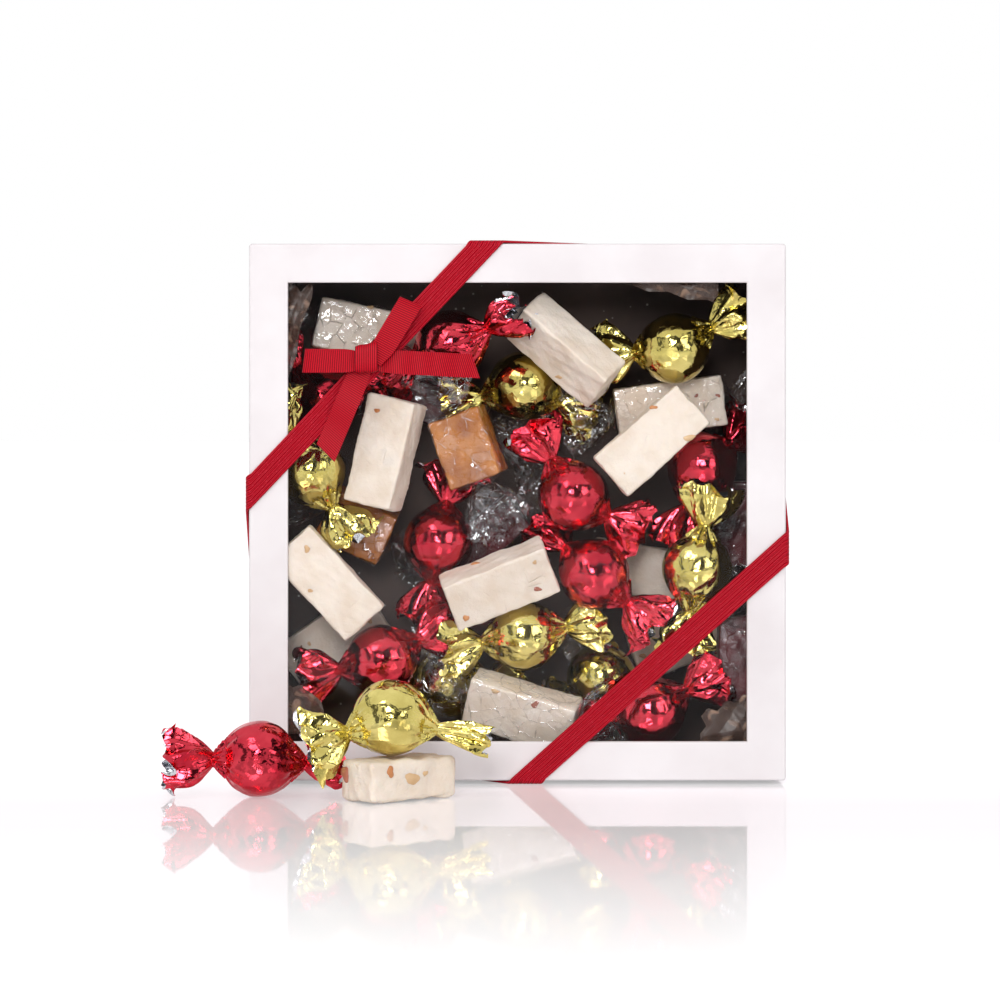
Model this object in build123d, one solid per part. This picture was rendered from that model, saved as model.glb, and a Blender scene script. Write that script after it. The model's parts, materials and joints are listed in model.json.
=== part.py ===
from build123d import *
import itertools
import math
import os
from dataclasses import dataclass

import numpy as np

# A square gift box of sweets, standing on edge: a shallow greyboard tray and a lift-off lid with a
# clear window, tied with one flat elastic and a ribbon bow. X runs to the right, Y from the lid's
# face to the tray's back, Z up from the surface that the box stands on. Sizes are in millimetres.

# Lid
LID_SIDE = 200.0
BOX_DEPTH = 60.0
LID_SKIRT = 38.0
BOARD = 1.8
WRAP = 0.25
EDGE_ROUND = 1.2
FACE_ROUND = 0.8
WINDOW_BORDER = 14.5
WINDOW_ROUND = 0.6
FILM = 0.3
FILM_LAP = 6.0

# Tray
LID_SLIP = 0.5
RIM_GAP = 0.3
LINING = 0.3

# Elastic: a flat band whose middle crosses each edge of the box this far from the box's middle
ELASTIC_WIDTH = 9.5
ELASTIC_THICK = 1.1
ELASTIC_EASE = 0.2
FRONT_TOP_CROSSING = -12.8
FRONT_LEFT_CROSSING = 8.0
FRONT_RIGHT_CROSSING = -14.3
FRONT_FOOT_CROSSING = 4.0
BACK_TOP_CROSSING = 44.0
BACK_LEFT_CROSSING = -49.0
BACK_RIGHT_CROSSING = 40.0
BACK_FOOT_CROSSING = -53.0
BENDS_PER_EDGE = 3

# Bow
RIBBON_WIDTH = 8.8
RIBBON_THICK = 0.5
RIBBON_EASE = 0.15
KNOT_WIDTH = 8.4
KNOT_HEIGHT = 12.2
KNOT_DEPTH = 6.0
KNOT_ROUND = 1.6
KNOT_FROM_MIDDLE_X = -56.2
KNOT_FROM_MIDDLE_Z = 57.8
LEFT_LOOP = 23.5
LEFT_LOOP_ANGLE = 180.0
LEFT_LOOP_ASIDE = -1.4
UPPER_LOOP = 26.5
UPPER_LOOP_ANGLE = 59.0
UPPER_LOOP_ASIDE = 3.6
LOOP_CURL = 1.6
LOOP_BOW = 1.1
RIGHT_TAIL = 42.5
RIGHT_TAIL_ANGLE = -3.0
RIGHT_TAIL_ASIDE = 1.3
LOWER_TAIL = 37.0
LOWER_TAIL_ANGLE = -113.0
TAIL_WAVE = 1.0
TAIL_WAVES = 3
TAIL_SLANT = 3.6

# Sweets in the tray
BALL_DIAMETER = 26.5
FOIL = 0.35
CENTRE_EASE = 0.15
GATHER_WIDTH = 13.0
GATHER = 4.6
GATHER_SINK = 1.2
NECK_WIDTH = 4.4
NECK_THICK = 2.6
FAN_LENGTH = 18.0
FAN_WIDTH = 21.0
FAN_DEPTH = 4.4
FAN_SHEET = 0.9
FAN_PLEATS = 3
NOUGAT_LENGTH = 42.0
NOUGAT_WIDTH = 20.0
NOUGAT_THICK = 15.0
CARAMEL_LENGTH = 27.0
CARAMEL_WIDTH = 21.0
CARAMEL_THICK = 16.0
TOFFEE_LENGTH = 33.0
TOFFEE_WIDTH = 16.5
TOFFEE_THICK = 12.5
SWEET_ROUND = 1.6
CLEAR_FILM = 0.3
FILM_EASE = 0.12
FILM_GATHER = 5.0
SWEET_GAP = 0.5
GRID_STEP = 0.85
NUDGE_CELLS = 2
NUDGE_STEPS = 5
NUDGE_RINGS = (-1, 2, 5)
FAN_TIPS = (0.0, 30.0, -30.0)
CRUSH_SHARES = (1.0, 0.7)
CRUSH_COST = 10.0
TIP_COST = 0.03
DEPTH_COST = 0.35

# Glassine papers, folded to and fro and tucked in at the walls
PAPER = 0.2
PAPER_PLEAT = 4.5
PAPER_DEPTH = 5.0

# Loose sweets in front, placed from the middle of the box's foot
LOOSE_BALL_DIAMETER = 27.5
LOOSE_NOUGAT_LENGTH = 39.5
LOOSE_NOUGAT_WIDTH = 20.0
LOOSE_NOUGAT_THICK = 15.5
LOOSE_NOUGAT_YAW = 38.0
LOOSE_RED_X = -94.0
LOOSE_RED_AHEAD = 38.0
LOOSE_NOUGAT_X = -43.5
LOOSE_NOUGAT_AHEAD = 45.0
LOOSE_GOLD_X = -46.0
LOOSE_GOLD_AHEAD = 47.0
LOOSE_SEAT = 0.3
OVERRUN = 5.0

# Places worked out from the sizes above
FOOT = ELASTIC_THICK + ELASTIC_EASE
MIDDLE_Z = FOOT + LID_SIDE / 2
WALL = WRAP + BOARD
WINDOW_SIDE = LID_SIDE - 2 * WINDOW_BORDER
TRAY_SIDE = LID_SIDE - 2 * (WALL + LID_SLIP)
TRAY_FRONT = WALL + FILM + RIM_GAP
INSIDE = TRAY_SIDE - 2 * (WALL + LINING)
FILM_BACK = WALL + FILM
FLOOR = BOX_DEPTH - WALL - LINING


def block(x_side, z_side, front, back, corner=0.0):
    """Return an upright block round the box's middle, from one depth to another."""
    outline = RectangleRounded(x_side, z_side, corner) if corner else Rectangle(x_side, z_side)
    face = Plane(origin=(0, front, MIDDLE_Z), x_dir=(1, 0, 0), z_dir=(0, 1, 0)) * outline
    return extrude(face, amount=back - front)


def frame_axes(angle, lean=0.0, turn=0.0):
    """Return a piece's long, wide and near axes.

    The angle is in the plane of the window, anticlockwise from the right. Lean tips the long axis
    away from the viewer, and turn rolls the piece about that axis.
    """
    a, e, t = (math.radians(v) for v in (angle, lean, turn))
    long_axis = np.array([math.cos(a) * math.cos(e), math.sin(e), math.sin(a) * math.cos(e)])
    flat_wide = np.array([-math.sin(a), 0.0, math.cos(a)])
    flat_near = np.cross(long_axis, flat_wide)
    wide = flat_wide * math.cos(t) + flat_near * math.sin(t)
    near = np.cross(long_axis, wide)
    return long_axis, wide, near


def place_in_window(sweet):
    """Return a sweet's middle: its own spot, or its share of the window's side with its nudge."""
    if sweet.spot:
        return np.array(sweet.spot)
    x = sweet.x_share * WINDOW_SIDE + sweet.nudge_x
    return np.array([x, sweet.depth, MIDDLE_Z + sweet.z_share * WINDOW_SIDE + sweet.nudge_z])


# Convex shapes, for finding room

@dataclass
class Ball:
    """A ball, by its middle and radius."""

    middle: np.ndarray
    radius: float

    def span(self, gx, gz, margin):
        """Return the nearest and furthest depth of the ball in each column of the grid."""
        inside = (self.radius + margin) ** 2 - (gx - self.middle[0]) ** 2 - (gz - self.middle[2]) ** 2
        half = np.sqrt(np.maximum(inside, 0))
        near = np.where(inside > 0, self.middle[1] - half, np.inf)
        far = np.where(inside > 0, self.middle[1] + half, -np.inf)
        return near, far

    def reach(self, margin):
        """Return the ball's lowest and highest corners."""
        return self.middle - self.radius - margin, self.middle + self.radius + margin


@dataclass
class Block:
    """A convex block with a rectangle at each end, which may differ in size."""

    start: np.ndarray
    axes: tuple
    length: float
    first: tuple
    last: tuple

    def planes(self):
        """Yield the outward normal and offset of each face."""
        along, wide, near = self.axes
        end = self.start + along * self.length
        yield -along, -along @ self.start
        yield along, along @ end
        for axis, a, b in ((wide, self.first[0], self.last[0]), (near, self.first[1], self.last[1])):
            for side in (1, -1):
                normal = axis * side * self.length - along * (b - a) / 2
                normal = normal / np.linalg.norm(normal)
                yield normal, normal @ (self.start + axis * side * a / 2)

    def span(self, gx, gz, margin):
        """Return the nearest and furthest depth of the block in each column of the grid."""
        near = np.full(gx.shape, -np.inf)
        far = np.full(gx.shape, np.inf)
        missed = np.zeros(gx.shape, bool)
        for normal, offset in self.planes():
            reach = offset + margin - normal[0] * gx - normal[2] * gz
            if abs(normal[1]) < 1e-6:
                missed |= reach < 0
            elif normal[1] > 0:
                far = np.minimum(far, reach / normal[1])
            else:
                near = np.maximum(near, reach / normal[1])
        missed |= near > far
        return np.where(missed, np.inf, near), np.where(missed, -np.inf, far)

    def reach(self, margin):
        """Return the block's lowest and highest corners."""
        along, wide, near = self.axes
        corners = np.array([
            at + wide * size[0] * u / 2 + near * size[1] * v / 2
            for at, size in ((self.start, self.first), (self.start + along * self.length, self.last))
            for u in (-1, 1) for v in (-1, 1)
        ])
        return corners.min(axis=0) - 2 * margin, corners.max(axis=0) + 2 * margin


# Sweets

@dataclass
class Fan:
    """One twisted end of a wrapper: its direction, and its size as a share of the full fan."""

    angle: float
    lean: float = 0.0
    turn: float = 0.0
    size_share: float = 1.0

    def axes(self):
        return frame_axes(self.angle, self.lean, self.turn)

    def section(self, at, width, depth, sheet):
        """Return the closed pleated outline of the fan across its direction."""
        _, wide, near = self.axes()
        steps = 2 * FAN_PLEATS
        fold = (depth - sheet) / 2
        top = [(width * (i / steps - 1 / 2), fold * (-1) ** i + sheet / 2) for i in range(steps + 1)]
        low = [(u, v - sheet) for u, v in reversed(top)]
        return Wire.make_polygon([Vector(*(at + wide * u + near * v)) for u, v in top + low])

    def solid(self, root):
        """Return the fan, opening out from its neck at the root."""
        along = self.axes()[0]
        reach = self.size_share
        neck = self.section(root, NECK_WIDTH, NECK_THICK, FAN_SHEET)
        tip = self.section(root + along * FAN_LENGTH * reach, FAN_WIDTH * reach, FAN_DEPTH, FAN_SHEET)
        return Solid.make_loft([neck, tip], ruled=True)

    def room(self, root):
        """Return the convex block that holds the fan."""
        reach = self.size_share
        last = (FAN_WIDTH * reach, FAN_DEPTH)
        return Block(root, self.axes(), FAN_LENGTH * reach, (NECK_WIDTH, NECK_THICK), last)


@dataclass
class FoilSweet:
    """A round chocolate twisted into foil, with a pleated fan at each side."""

    node: str
    x_share: float
    z_share: float
    fans: tuple
    diameter: float = BALL_DIAMETER
    spot: tuple = ()
    depth: float = 0.0
    nudge_x: float = 0.0
    nudge_z: float = 0.0

    def middle(self):
        return place_in_window(self)

    def gather_start(self):
        """Return how far from the ball's middle the gathered foil starts, just inside the ball."""
        return math.sqrt((self.diameter / 2) ** 2 - (GATHER_WIDTH / 2) ** 2) - GATHER_SINK

    def neck(self, fan):
        """Return the point where the gathered foil is narrowest."""
        return self.middle() + fan.axes()[0] * (self.diameter / 2 + GATHER - FOIL)

    def rooms(self):
        yield Ball(self.middle(), self.diameter / 2)
        for fan in self.fans:
            start = self.middle() + fan.axes()[0] * self.gather_start()
            length = self.diameter / 2 + GATHER - self.gather_start()
            yield Block(start, fan.axes(), length, (GATHER_WIDTH,) * 2, (NECK_WIDTH,) * 2)
            yield fan.room(self.neck(fan))

    def wrapper(self):
        """Return the foil: a thin ball with a gathered neck and a fan at each end."""
        middle = Vector(*self.middle())
        _, wide, near = self.fans[0].axes()
        place = Plane(origin=middle, x_dir=Vector(*wide), z_dir=Vector(*near))
        ends = []
        for fan in self.fans:
            along = Vector(*fan.axes()[0])
            length = self.diameter / 2 + GATHER - self.gather_start()
            base = Plane(origin=middle + along * (self.gather_start() + length / 2), z_dir=along)
            ends += [base * Cone(GATHER_WIDTH / 2, NECK_WIDTH / 2, length), fan.solid(self.neck(fan))]
        return place * Sphere(self.diameter / 2) + ends - place * Sphere(self.diameter / 2 - FOIL)

    def centre(self):
        return Pos(*self.middle()) * Sphere(self.diameter / 2 - FOIL - CENTRE_EASE)


@dataclass
class BarSweet:
    """A cut bar, caramel or toffee, with or without a clear film twisted at both ends."""

    node: str
    x_share: float
    z_share: float
    angle: float
    lean: float = 0.0
    turn: float = 0.0
    fans: tuple = ()
    size: tuple = (NOUGAT_LENGTH, NOUGAT_WIDTH, NOUGAT_THICK)
    spot: tuple = ()
    depth: float = 0.0
    nudge_x: float = 0.0
    nudge_z: float = 0.0

    def middle(self):
        return place_in_window(self)

    def axes(self):
        return frame_axes(self.angle, self.lean, self.turn)

    def place(self):
        along, _, near = self.axes()
        return Plane(origin=Vector(*self.middle()), x_dir=Vector(*along), z_dir=Vector(*near))

    def coat(self):
        """Return how far the film's outside stands from the sweet, or nothing for a bare one."""
        return FILM_EASE + CLEAR_FILM if self.fans else 0.0

    def end(self, side):
        """Return the middle of the film at one end of the sweet."""
        return self.middle() + self.axes()[0] * side * (self.size[0] / 2 + self.coat())

    def neck(self, side):
        return self.end(side) + self.axes()[0] * side * FILM_GATHER

    def rooms(self):
        along, wide, near = self.axes()
        length, width, thick = (v + 2 * self.coat() for v in self.size)
        yield Block(self.end(-1), self.axes(), length, (width, thick), (width, thick))
        for side, fan in zip((-1, 1), self.fans):
            yield Block(self.end(side), (along * side, wide, near), FILM_GATHER,
                        (width, thick), (NECK_WIDTH, NECK_WIDTH))
            yield fan.room(self.neck(side))

    def sweet(self):
        bar = Box(*self.size)
        return self.place().location * fillet(bar.edges(), SWEET_ROUND)

    def film(self):
        """Return the clear film: a close sleeve, gathered and fanned out at both ends."""
        place = self.place()
        length, width, thick = (v + 2 * self.coat() for v in self.size)
        sleeve = place.location * Box(length, width, thick)
        ends = []
        for side, fan in zip((-1, 1), self.fans):
            along, wide, near = (Vector(*v) for v in self.axes())
            foot = Plane(origin=Vector(*self.end(side)), x_dir=wide, z_dir=along)
            head = Plane(origin=Vector(*self.neck(side)), x_dir=wide, z_dir=along)
            first = (foot * Rectangle(width, thick)).wire()
            last = (head * Rectangle(NECK_WIDTH, NECK_WIDTH)).wire()
            ends.append(Solid.make_loft([first, last], ruled=True))
            ends.append(fan.solid(self.neck(side) - self.axes()[0] * side * FAN_SHEET))
        hollow = (v + 2 * FILM_EASE for v in self.size)
        return sleeve + ends - place.location * Box(*hollow)


@dataclass
class Paper:
    """A sheet of glassine, folded to and fro, which lies at the window's edge."""

    node: str
    x_share: float
    z_share: float
    angle: float
    length_share: float
    width_share: float
    fans: tuple = ()
    spot: tuple = ()
    depth: float = 0.0
    nudge_x: float = 0.0
    nudge_z: float = 0.0

    def middle(self):
        return place_in_window(self)

    def axes(self):
        return frame_axes(self.angle)

    def rooms(self):
        along = self.axes()[0]
        length = self.length_share * WINDOW_SIDE
        size = (self.width_share * WINDOW_SIDE, PAPER_DEPTH)
        yield Block(self.middle() - along * length / 2, self.axes(), length, size, size)

    def sheet(self):
        """Return the folded sheet: a thin zigzag drawn out over the paper's width."""
        along, wide, near = self.axes()
        length = self.length_share * WINDOW_SIDE
        width = self.width_share * WINDOW_SIDE
        folds = max(round(length / PAPER_PLEAT), 2)
        rise = (PAPER_DEPTH - PAPER) / 2
        front = [(length * (i / folds - 1 / 2), rise * (-1) ** i + PAPER / 2) for i in range(folds + 1)]
        back = [(u, v - PAPER) for u, v in reversed(front)]
        foot = self.middle() - wide * width / 2
        outline = Wire.make_polygon([Vector(*(foot + along * u + near * v)) for u, v in front + back])
        return Solid.extrude(Face(outline), Vector(*(wide * width)))


CARAMEL = (CARAMEL_LENGTH, CARAMEL_WIDTH, CARAMEL_THICK)
TOFFEE = (TOFFEE_LENGTH, TOFFEE_WIDTH, TOFFEE_THICK)

# The sweets, nearest to the window first. Places are from the window's middle, as shares of its side.
near_sweet_shares = [
    FoilSweet("red_foil_sweet_1", 0.124, 0.032, (Fan(122, 12, 0, 0.7), Fan(-31, 20, 0, 0.75))),
    BarSweet("nougat_bar_1", 0.108, 0.354, -41, -8, 50),
    BarSweet("nougat_bar_2", 0.295, 0.155, 41.5),
    BarSweet("nougat_bar_3", -0.039, -0.160, 21.5, 0, 20),
    BarSweet("nougat_bar_4", -0.290, 0.128, 76.5, 0, -20),
    BarSweet("nougat_bar_5", -0.415, -0.157, -47.5),
    BarSweet("nougat_bar_7", 0.011, -0.444, -16, -8, 20, (Fan(164, 20, 0, 0.3), Fan(60, 10, 0, 0.5))),
    BarSweet("caramel_1", -0.128, 0.150, 110, 0, -12, (Fan(-62, -10, 0, 0.3), Fan(112, 20, 0, 0.3)), CARAMEL),
    FoilSweet("gold_foil_sweet_2", 0.016, 0.274, (Fan(-166, 10, 0, 0.8), Fan(-22, 20, 0, 0.5))),
    FoilSweet("red_foil_sweet_3", 0.161, -0.140, (Fan(138, 30, 45, 0.5), Fan(-41, 0, 0, 0.9))),
    FoilSweet("gold_foil_sweet_1", 0.346, 0.347, (Fan(-175, 25, 0, 0.7), Fan(29, 0, 0, 0.9))),
    FoilSweet("red_foil_sweet_4", 0.412, 0.094, (Fan(38, 0, 0, 0.5), Fan(-109, 10, 0, 0.8))),
    BarSweet("caramel_2", -0.355, -0.035, -25, 0, 10, (Fan(168, 0, 0, 0.4), Fan(-20, 60, 0, 0.3)), CARAMEL),
    FoilSweet("red_foil_sweet_2", -0.213, -0.112, (Fan(78, 25, 0, 0.4), Fan(-99, 15, 0, 0.5))),
    FoilSweet("red_foil_sweet_5", -0.308, -0.320, (Fan(-167, 0, 0, 0.8), Fan(26, 20, 0, 0.6))),
    FoilSweet("red_foil_sweet_6", 0.293, -0.444, (Fan(29, 0, 0, 0.8), Fan(-164, 0, 0, 0.4))),
    FoilSweet("gold_foil_sweet_4", 0.397, -0.109, (Fan(80, 0, 0, 0.4), Fan(-98, 0, 0, 0.6))),
    FoilSweet("red_foil_sweet_7", -0.147, 0.354, (Fan(24, -20, 50, 0.7), Fan(200, 30, 0, 0.4))),
    BarSweet("nougat_bar_6", 0.333, 0.217, 8, 0, 0, (Fan(-172, 0, 0, 0.3), Fan(5, 0, 0, 0.5))),
    FoilSweet("gold_foil_sweet_3", -0.154, -0.391, (Fan(5, 0, 0, 0.8), Fan(-160, 20, 0, 0.4))),
]
far_sweet_shares = [
    BarSweet("nougat_bar_10", 0.381, -0.298, 20),
    FoilSweet("gold_foil_sweet_7", 0.210, -0.400, (Fan(40, 50, 0, 0.3), Fan(220, 50, 0, 0.3))),
    FoilSweet("red_foil_sweet_8", -0.429, 0.244, (Fan(132, 0, 0, 0.5), Fan(19, 0, 0, 0.5))),
    BarSweet("toffee_3", 0.492, -0.047, 90, 0, 0, (Fan(-90, 0, 0, 0.3), Fan(90, 0, 0, 0.3)), TOFFEE),
    BarSweet("nougat_bar_9", 0.304, -0.175, -10),
    BarSweet("nougat_bar_11", -0.412, -0.296, 35),
]
gap_sweet_shares = [
    Paper("paper_left", -0.492, 0.372, 90, 0.26, 0.09),
    Paper("paper_top", 0.330, 0.496, 0, 0.22, 0.09),
    Paper("paper_lower_left", -0.460, -0.420, 0, 0.16, 0.13),
    Paper("paper_lower_right", 0.470, -0.470, 90, 0.14, 0.14),
    FoilSweet("gold_foil_sweet_6", 0.007, -0.259, (Fan(12, 0, 0, 0.5), Fan(190, 0, 0, 0.3))),
    FoilSweet("gold_foil_sweet_5", -0.415, 0.080, (Fan(120, 0, 0, 0.4), Fan(-60, 0, 0, 0.3))),
    BarSweet("toffee_2", -0.068, -0.065, 38, 0, 0, (Fan(218, 20, 0, 0.3), Fan(52, 0, 0, 0.5)), TOFFEE),
    BarSweet("toffee_1", -0.044, -0.307, -3, 0, 0, (Fan(176, 0, 0, 0.4), Fan(-8, 0, 0, 0.5)), TOFFEE),
    BarSweet("nougat_bar_8", -0.357, 0.354, -12, 0, 0, (Fan(168, 0, 0, 0.4), Fan(-12, 0, 0, 0.3))),
    BarSweet("toffee_4", 0.492, -0.330, 90, 0, 0, (Fan(-90, 0, 0, 0.3), Fan(90, 0, 0, 0.3)), TOFFEE),
    BarSweet("toffee_5", -0.198, 0.270, -20, 0, 0, (Fan(160, 0, 0, 0.3), Fan(-20, 0, 0, 0.3)), TOFFEE),
]


# Finding room: each sweet keeps its place in the window's plane, or the nearest one that is free

NUDGES = sorted(
    ((i, k) for i in range(-NUDGE_STEPS, NUDGE_STEPS + 1) for k in range(-NUDGE_STEPS, NUDGE_STEPS + 1)),
    key=lambda step: step[0] ** 2 + step[1] ** 2,
)


@dataclass
class Shadow:
    """The depths that a sweet fills in the columns of the grid, from one corner of its patch."""

    row: int
    column: int
    near: np.ndarray
    far: np.ndarray

    def patch(self):
        rows, columns = self.near.shape
        return slice(self.row, self.row + rows), slice(self.column, self.column + columns)

    def moved(self, rows, columns):
        return Shadow(self.row + rows, self.column + columns, self.near, self.far)

    def inside(self, cells):
        rows, columns = self.patch()
        return min(rows.start, columns.start) >= 0 and max(rows.stop, columns.stop) <= cells


class Filled:
    """The depths that the placed sweets fill, as a pile of spans in each column of the grid."""

    def __init__(self, cells, sweets):
        self.cells = cells
        self.near = np.full((sweets, cells, cells), np.inf)
        self.far = -self.near
        self.spans = np.zeros((cells, cells), int)

    def add(self, shadow):
        rows, columns = np.nonzero(shadow.near < np.inf)
        cells = (rows + shadow.row, columns + shadow.column)
        at = (self.spans[cells], *cells)
        self.near[at] = shadow.near[rows, columns]
        self.far[at] = shadow.far[rows, columns]
        self.spans[cells] += 1

    def free_depth(self, shadow, from_back):
        """Return the depth nearest the window, or the floor, at which the shadow meets no sweet."""
        patch = shadow.patch()
        pile = slice(0, self.spans[patch].max())
        low = self.near[(pile, *patch)] - shadow.far
        high = self.far[(pile, *patch)] - shadow.near
        both = high > low
        low, high = low[both], high[both]
        least = FILM_BACK - shadow.near.min()
        most = FLOOR - shadow.far.max()
        depth = most if from_back else least
        while least <= depth <= most:
            met = (low < depth) & (high > depth)
            if not met.any():
                return depth
            depth = low[met].min() if from_back else high[met].max()
        return None


def shadow_of(sweet, margin):
    """Return the sweet's shadow on the grid, at its own depth."""
    rooms = list(sweet.rooms())
    reaches = [room.reach(margin) for room in rooms]
    corner = np.array([-INSIDE / 2, 0, MIDDLE_Z - INSIDE / 2])
    spans = [[np.round((point - corner) / GRID_STEP).astype(int) for point in reach] for reach in reaches]
    left, _, foot = np.min([span[0] for span in spans], axis=0)
    right, _, top = np.max([span[1] for span in spans], axis=0)
    near = np.full((top - foot, right - left), np.inf)
    far = -near
    for room, (low, high) in zip(rooms, spans):
        gx = (np.arange(low[0], high[0]) + 1 / 2) * GRID_STEP + corner[0]
        gz = (np.arange(low[2], high[2]) + 1 / 2) * GRID_STEP + corner[2]
        patch = (slice(low[2] - foot, high[2] - foot), slice(low[0] - left, high[0] - left))
        room_near, room_far = room.span(*np.meshgrid(gx, gz), margin)
        near[patch] = np.minimum(near[patch], room_near)
        far[patch] = np.maximum(far[patch], room_far)
    filled_rows, filled_columns = np.nonzero(near < np.inf)
    rows = slice(filled_rows.min(), filled_rows.max() + 1)
    columns = slice(filled_columns.min(), filled_columns.max() + 1)
    return Shadow(foot + rows.start, left + columns.start, near[rows, columns], far[rows, columns])


def bent(fans):
    """Yield the sweet's fans as they are, then tipped and crumpled smaller, as in a full box."""
    for crush in CRUSH_SHARES if fans else (1.0,):
        for tips in itertools.product(FAN_TIPS, repeat=len(fans)):
            yield (1.0 - crush) * CRUSH_COST + sum(abs(tip) for tip in tips) * TIP_COST, tuple(
                Fan(fan.angle, fan.lean + tip, fan.turn, fan.size_share * crush)
                for fan, tip in zip(fans, tips)
            )


def places(sweet, from_back, filled, ring):
    """Yield each free place in one ring of nudges, with what it costs in moves and in depth."""
    fans = sweet.fans
    for cost, sweet.fans in bent(fans):
        wide = shadow_of(sweet, SWEET_GAP)
        for rows, columns in ring:
            moved = wide.moved(rows * NUDGE_CELLS, columns * NUDGE_CELLS)
            depth = filled.free_depth(moved, from_back) if moved.inside(filled.cells) else None
            if depth is not None:
                shift = np.array([columns, rows]) * NUDGE_CELLS * GRID_STEP
                hidden = FLOOR - depth if from_back else depth
                yield cost + np.hypot(*shift) + hidden * DEPTH_COST, depth, shift, sweet.fans
    sweet.fans = fans


def find_room(sweet, from_back, filled):
    """Move the sweet to the best free place in the innermost ring that has one."""
    for inner, outer in zip(NUDGE_RINGS, NUDGE_RINGS[1:]):
        ring = [step for step in NUDGES if inner < max(abs(step[0]), abs(step[1])) <= outer]
        found = list(places(sweet, from_back, filled, ring))
        if found:
            _, depth, shift, sweet.fans = min(found, key=lambda place: place[0])
            sweet.depth = float(depth)
            sweet.nudge_x, sweet.nudge_z = (float(v) for v in shift)
            return True
    return False


def settle(sweets, from_back, filled):
    """Give each sweet a free place, as close as can be to its own, and return those that have one."""
    settled = []
    for sweet in sweets:
        if find_room(sweet, from_back, filled):
            filled.add(shadow_of(sweet, 0.0))
            settled.append(sweet)
    return settled


# Box

def lid_shell(inset):
    """Return the lid without its hollow, drawn in all round: a face, its rounded edges and window."""
    side = LID_SIDE - 2 * inset
    body = block(side, side, inset, LID_SKIRT - inset, EDGE_ROUND - inset)
    body = fillet(body.faces().sort_by(Axis.Y)[0].edges(), FACE_ROUND - inset)
    opening = WINDOW_SIDE + 2 * inset
    body -= block(opening, opening, inset - OVERRUN, WALL + OVERRUN)
    rim = body.edges().filter_by_position(Axis.Y, inset, inset).sort_by(
        lambda edge: max(abs(edge.center().X), abs(edge.center().Z - MIDDLE_Z)))[:4]
    return fillet(rim, WINDOW_ROUND - inset)


def lid_pieces():
    """Yield the lid's board, the white paper over it and the film behind its window."""
    side = LID_SIDE - 2 * WALL
    hollow = block(side, side, WALL, LID_SKIRT + OVERRUN)
    board = lid_shell(WRAP) - hollow
    yield "lid_board", board
    yield "lid_wrap", lid_shell(0.0) - hollow - board
    film = WINDOW_SIDE + 2 * FILM_LAP
    yield "window_film", block(film, film, WALL, WALL + FILM)


def tray_shell(inset):
    """Return the tray without its hollow, drawn in all round, with rounded edges at the back."""
    side = TRAY_SIDE - 2 * inset
    body = block(side, side, TRAY_FRONT + inset, BOX_DEPTH - inset, EDGE_ROUND - inset)
    return fillet(body.faces().sort_by(Axis.Y)[-1].edges(), FACE_ROUND - inset)


def tray_pieces():
    """Yield the tray's board, the white paper over it and its black lining."""
    side = TRAY_SIDE - 2 * WALL
    hollow = block(side, side, TRAY_FRONT - OVERRUN, FLOOR + LINING)
    board = tray_shell(WRAP) - hollow
    yield "base_board", board
    yield "base_wrap", tray_shell(0.0) - hollow - board
    yield "base_liner", block(side, side, TRAY_FRONT, FLOOR + LINING) - block(
        INSIDE, INSIDE, TRAY_FRONT - OVERRUN, FLOOR)


# Elastic

def side_profile():
    """Return the band's path over one side of the box, as depth and distance from the middle.

    The path bends in steps round the lid's face edge, over the skirt's rim and round the tray's
    back edge. Each place is given for the band's inner and outer surface.
    """
    radius = FACE_ROUND + ELASTIC_EASE
    front = np.array([FACE_ROUND, LID_SIDE / 2 - FACE_ROUND])
    back = np.array([BOX_DEPTH - FACE_ROUND, TRAY_SIDE / 2 - FACE_ROUND])
    rim = np.array([LID_SKIRT, LID_SIDE / 2 + ELASTIC_EASE])
    reach = np.linalg.norm(back - rim)
    slope = math.atan2(*(back - rim)[::-1]) + math.asin(radius / reach)

    def bend(middle, first, last):
        for step in range(BENDS_PER_EDGE + 1):
            normal = first + (last - first) * step / BENDS_PER_EDGE
            ray = np.array([math.sin(normal), math.cos(normal)])
            yield middle + ray * radius, middle + ray * (radius + ELASTIC_THICK)

    yield from bend(front, -math.pi / 2, 0.0)
    yield rim, rim + ELASTIC_THICK * np.array([math.tan(-slope / 2), 1])
    yield from bend(back, -slope, math.pi / 2)


def side_run(out, along, front_crossing, back_crossing, border):
    """Return the band's fold lines over one side, from the front, as four corners each."""
    places = list(side_profile())
    steps = [np.linalg.norm(b[0] - a[0]) for a, b in zip(places, places[1:])]
    travel = np.concatenate([[0.0], np.cumsum(steps)])
    shift = back_crossing - front_crossing
    half = border * ELASTIC_WIDTH / 2 * math.hypot(travel[-1], shift) / travel[-1]
    folds = []
    for (inner, outer), gone in zip(places, travel):
        middle = front_crossing + shift * gone / travel[-1]
        folds.append([
            np.array([0.0, depth, MIDDLE_Z]) + out * distance + along * (middle + side * half)
            for depth, distance in (inner, outer) for side in (1, -1)
        ])
    return folds


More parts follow.
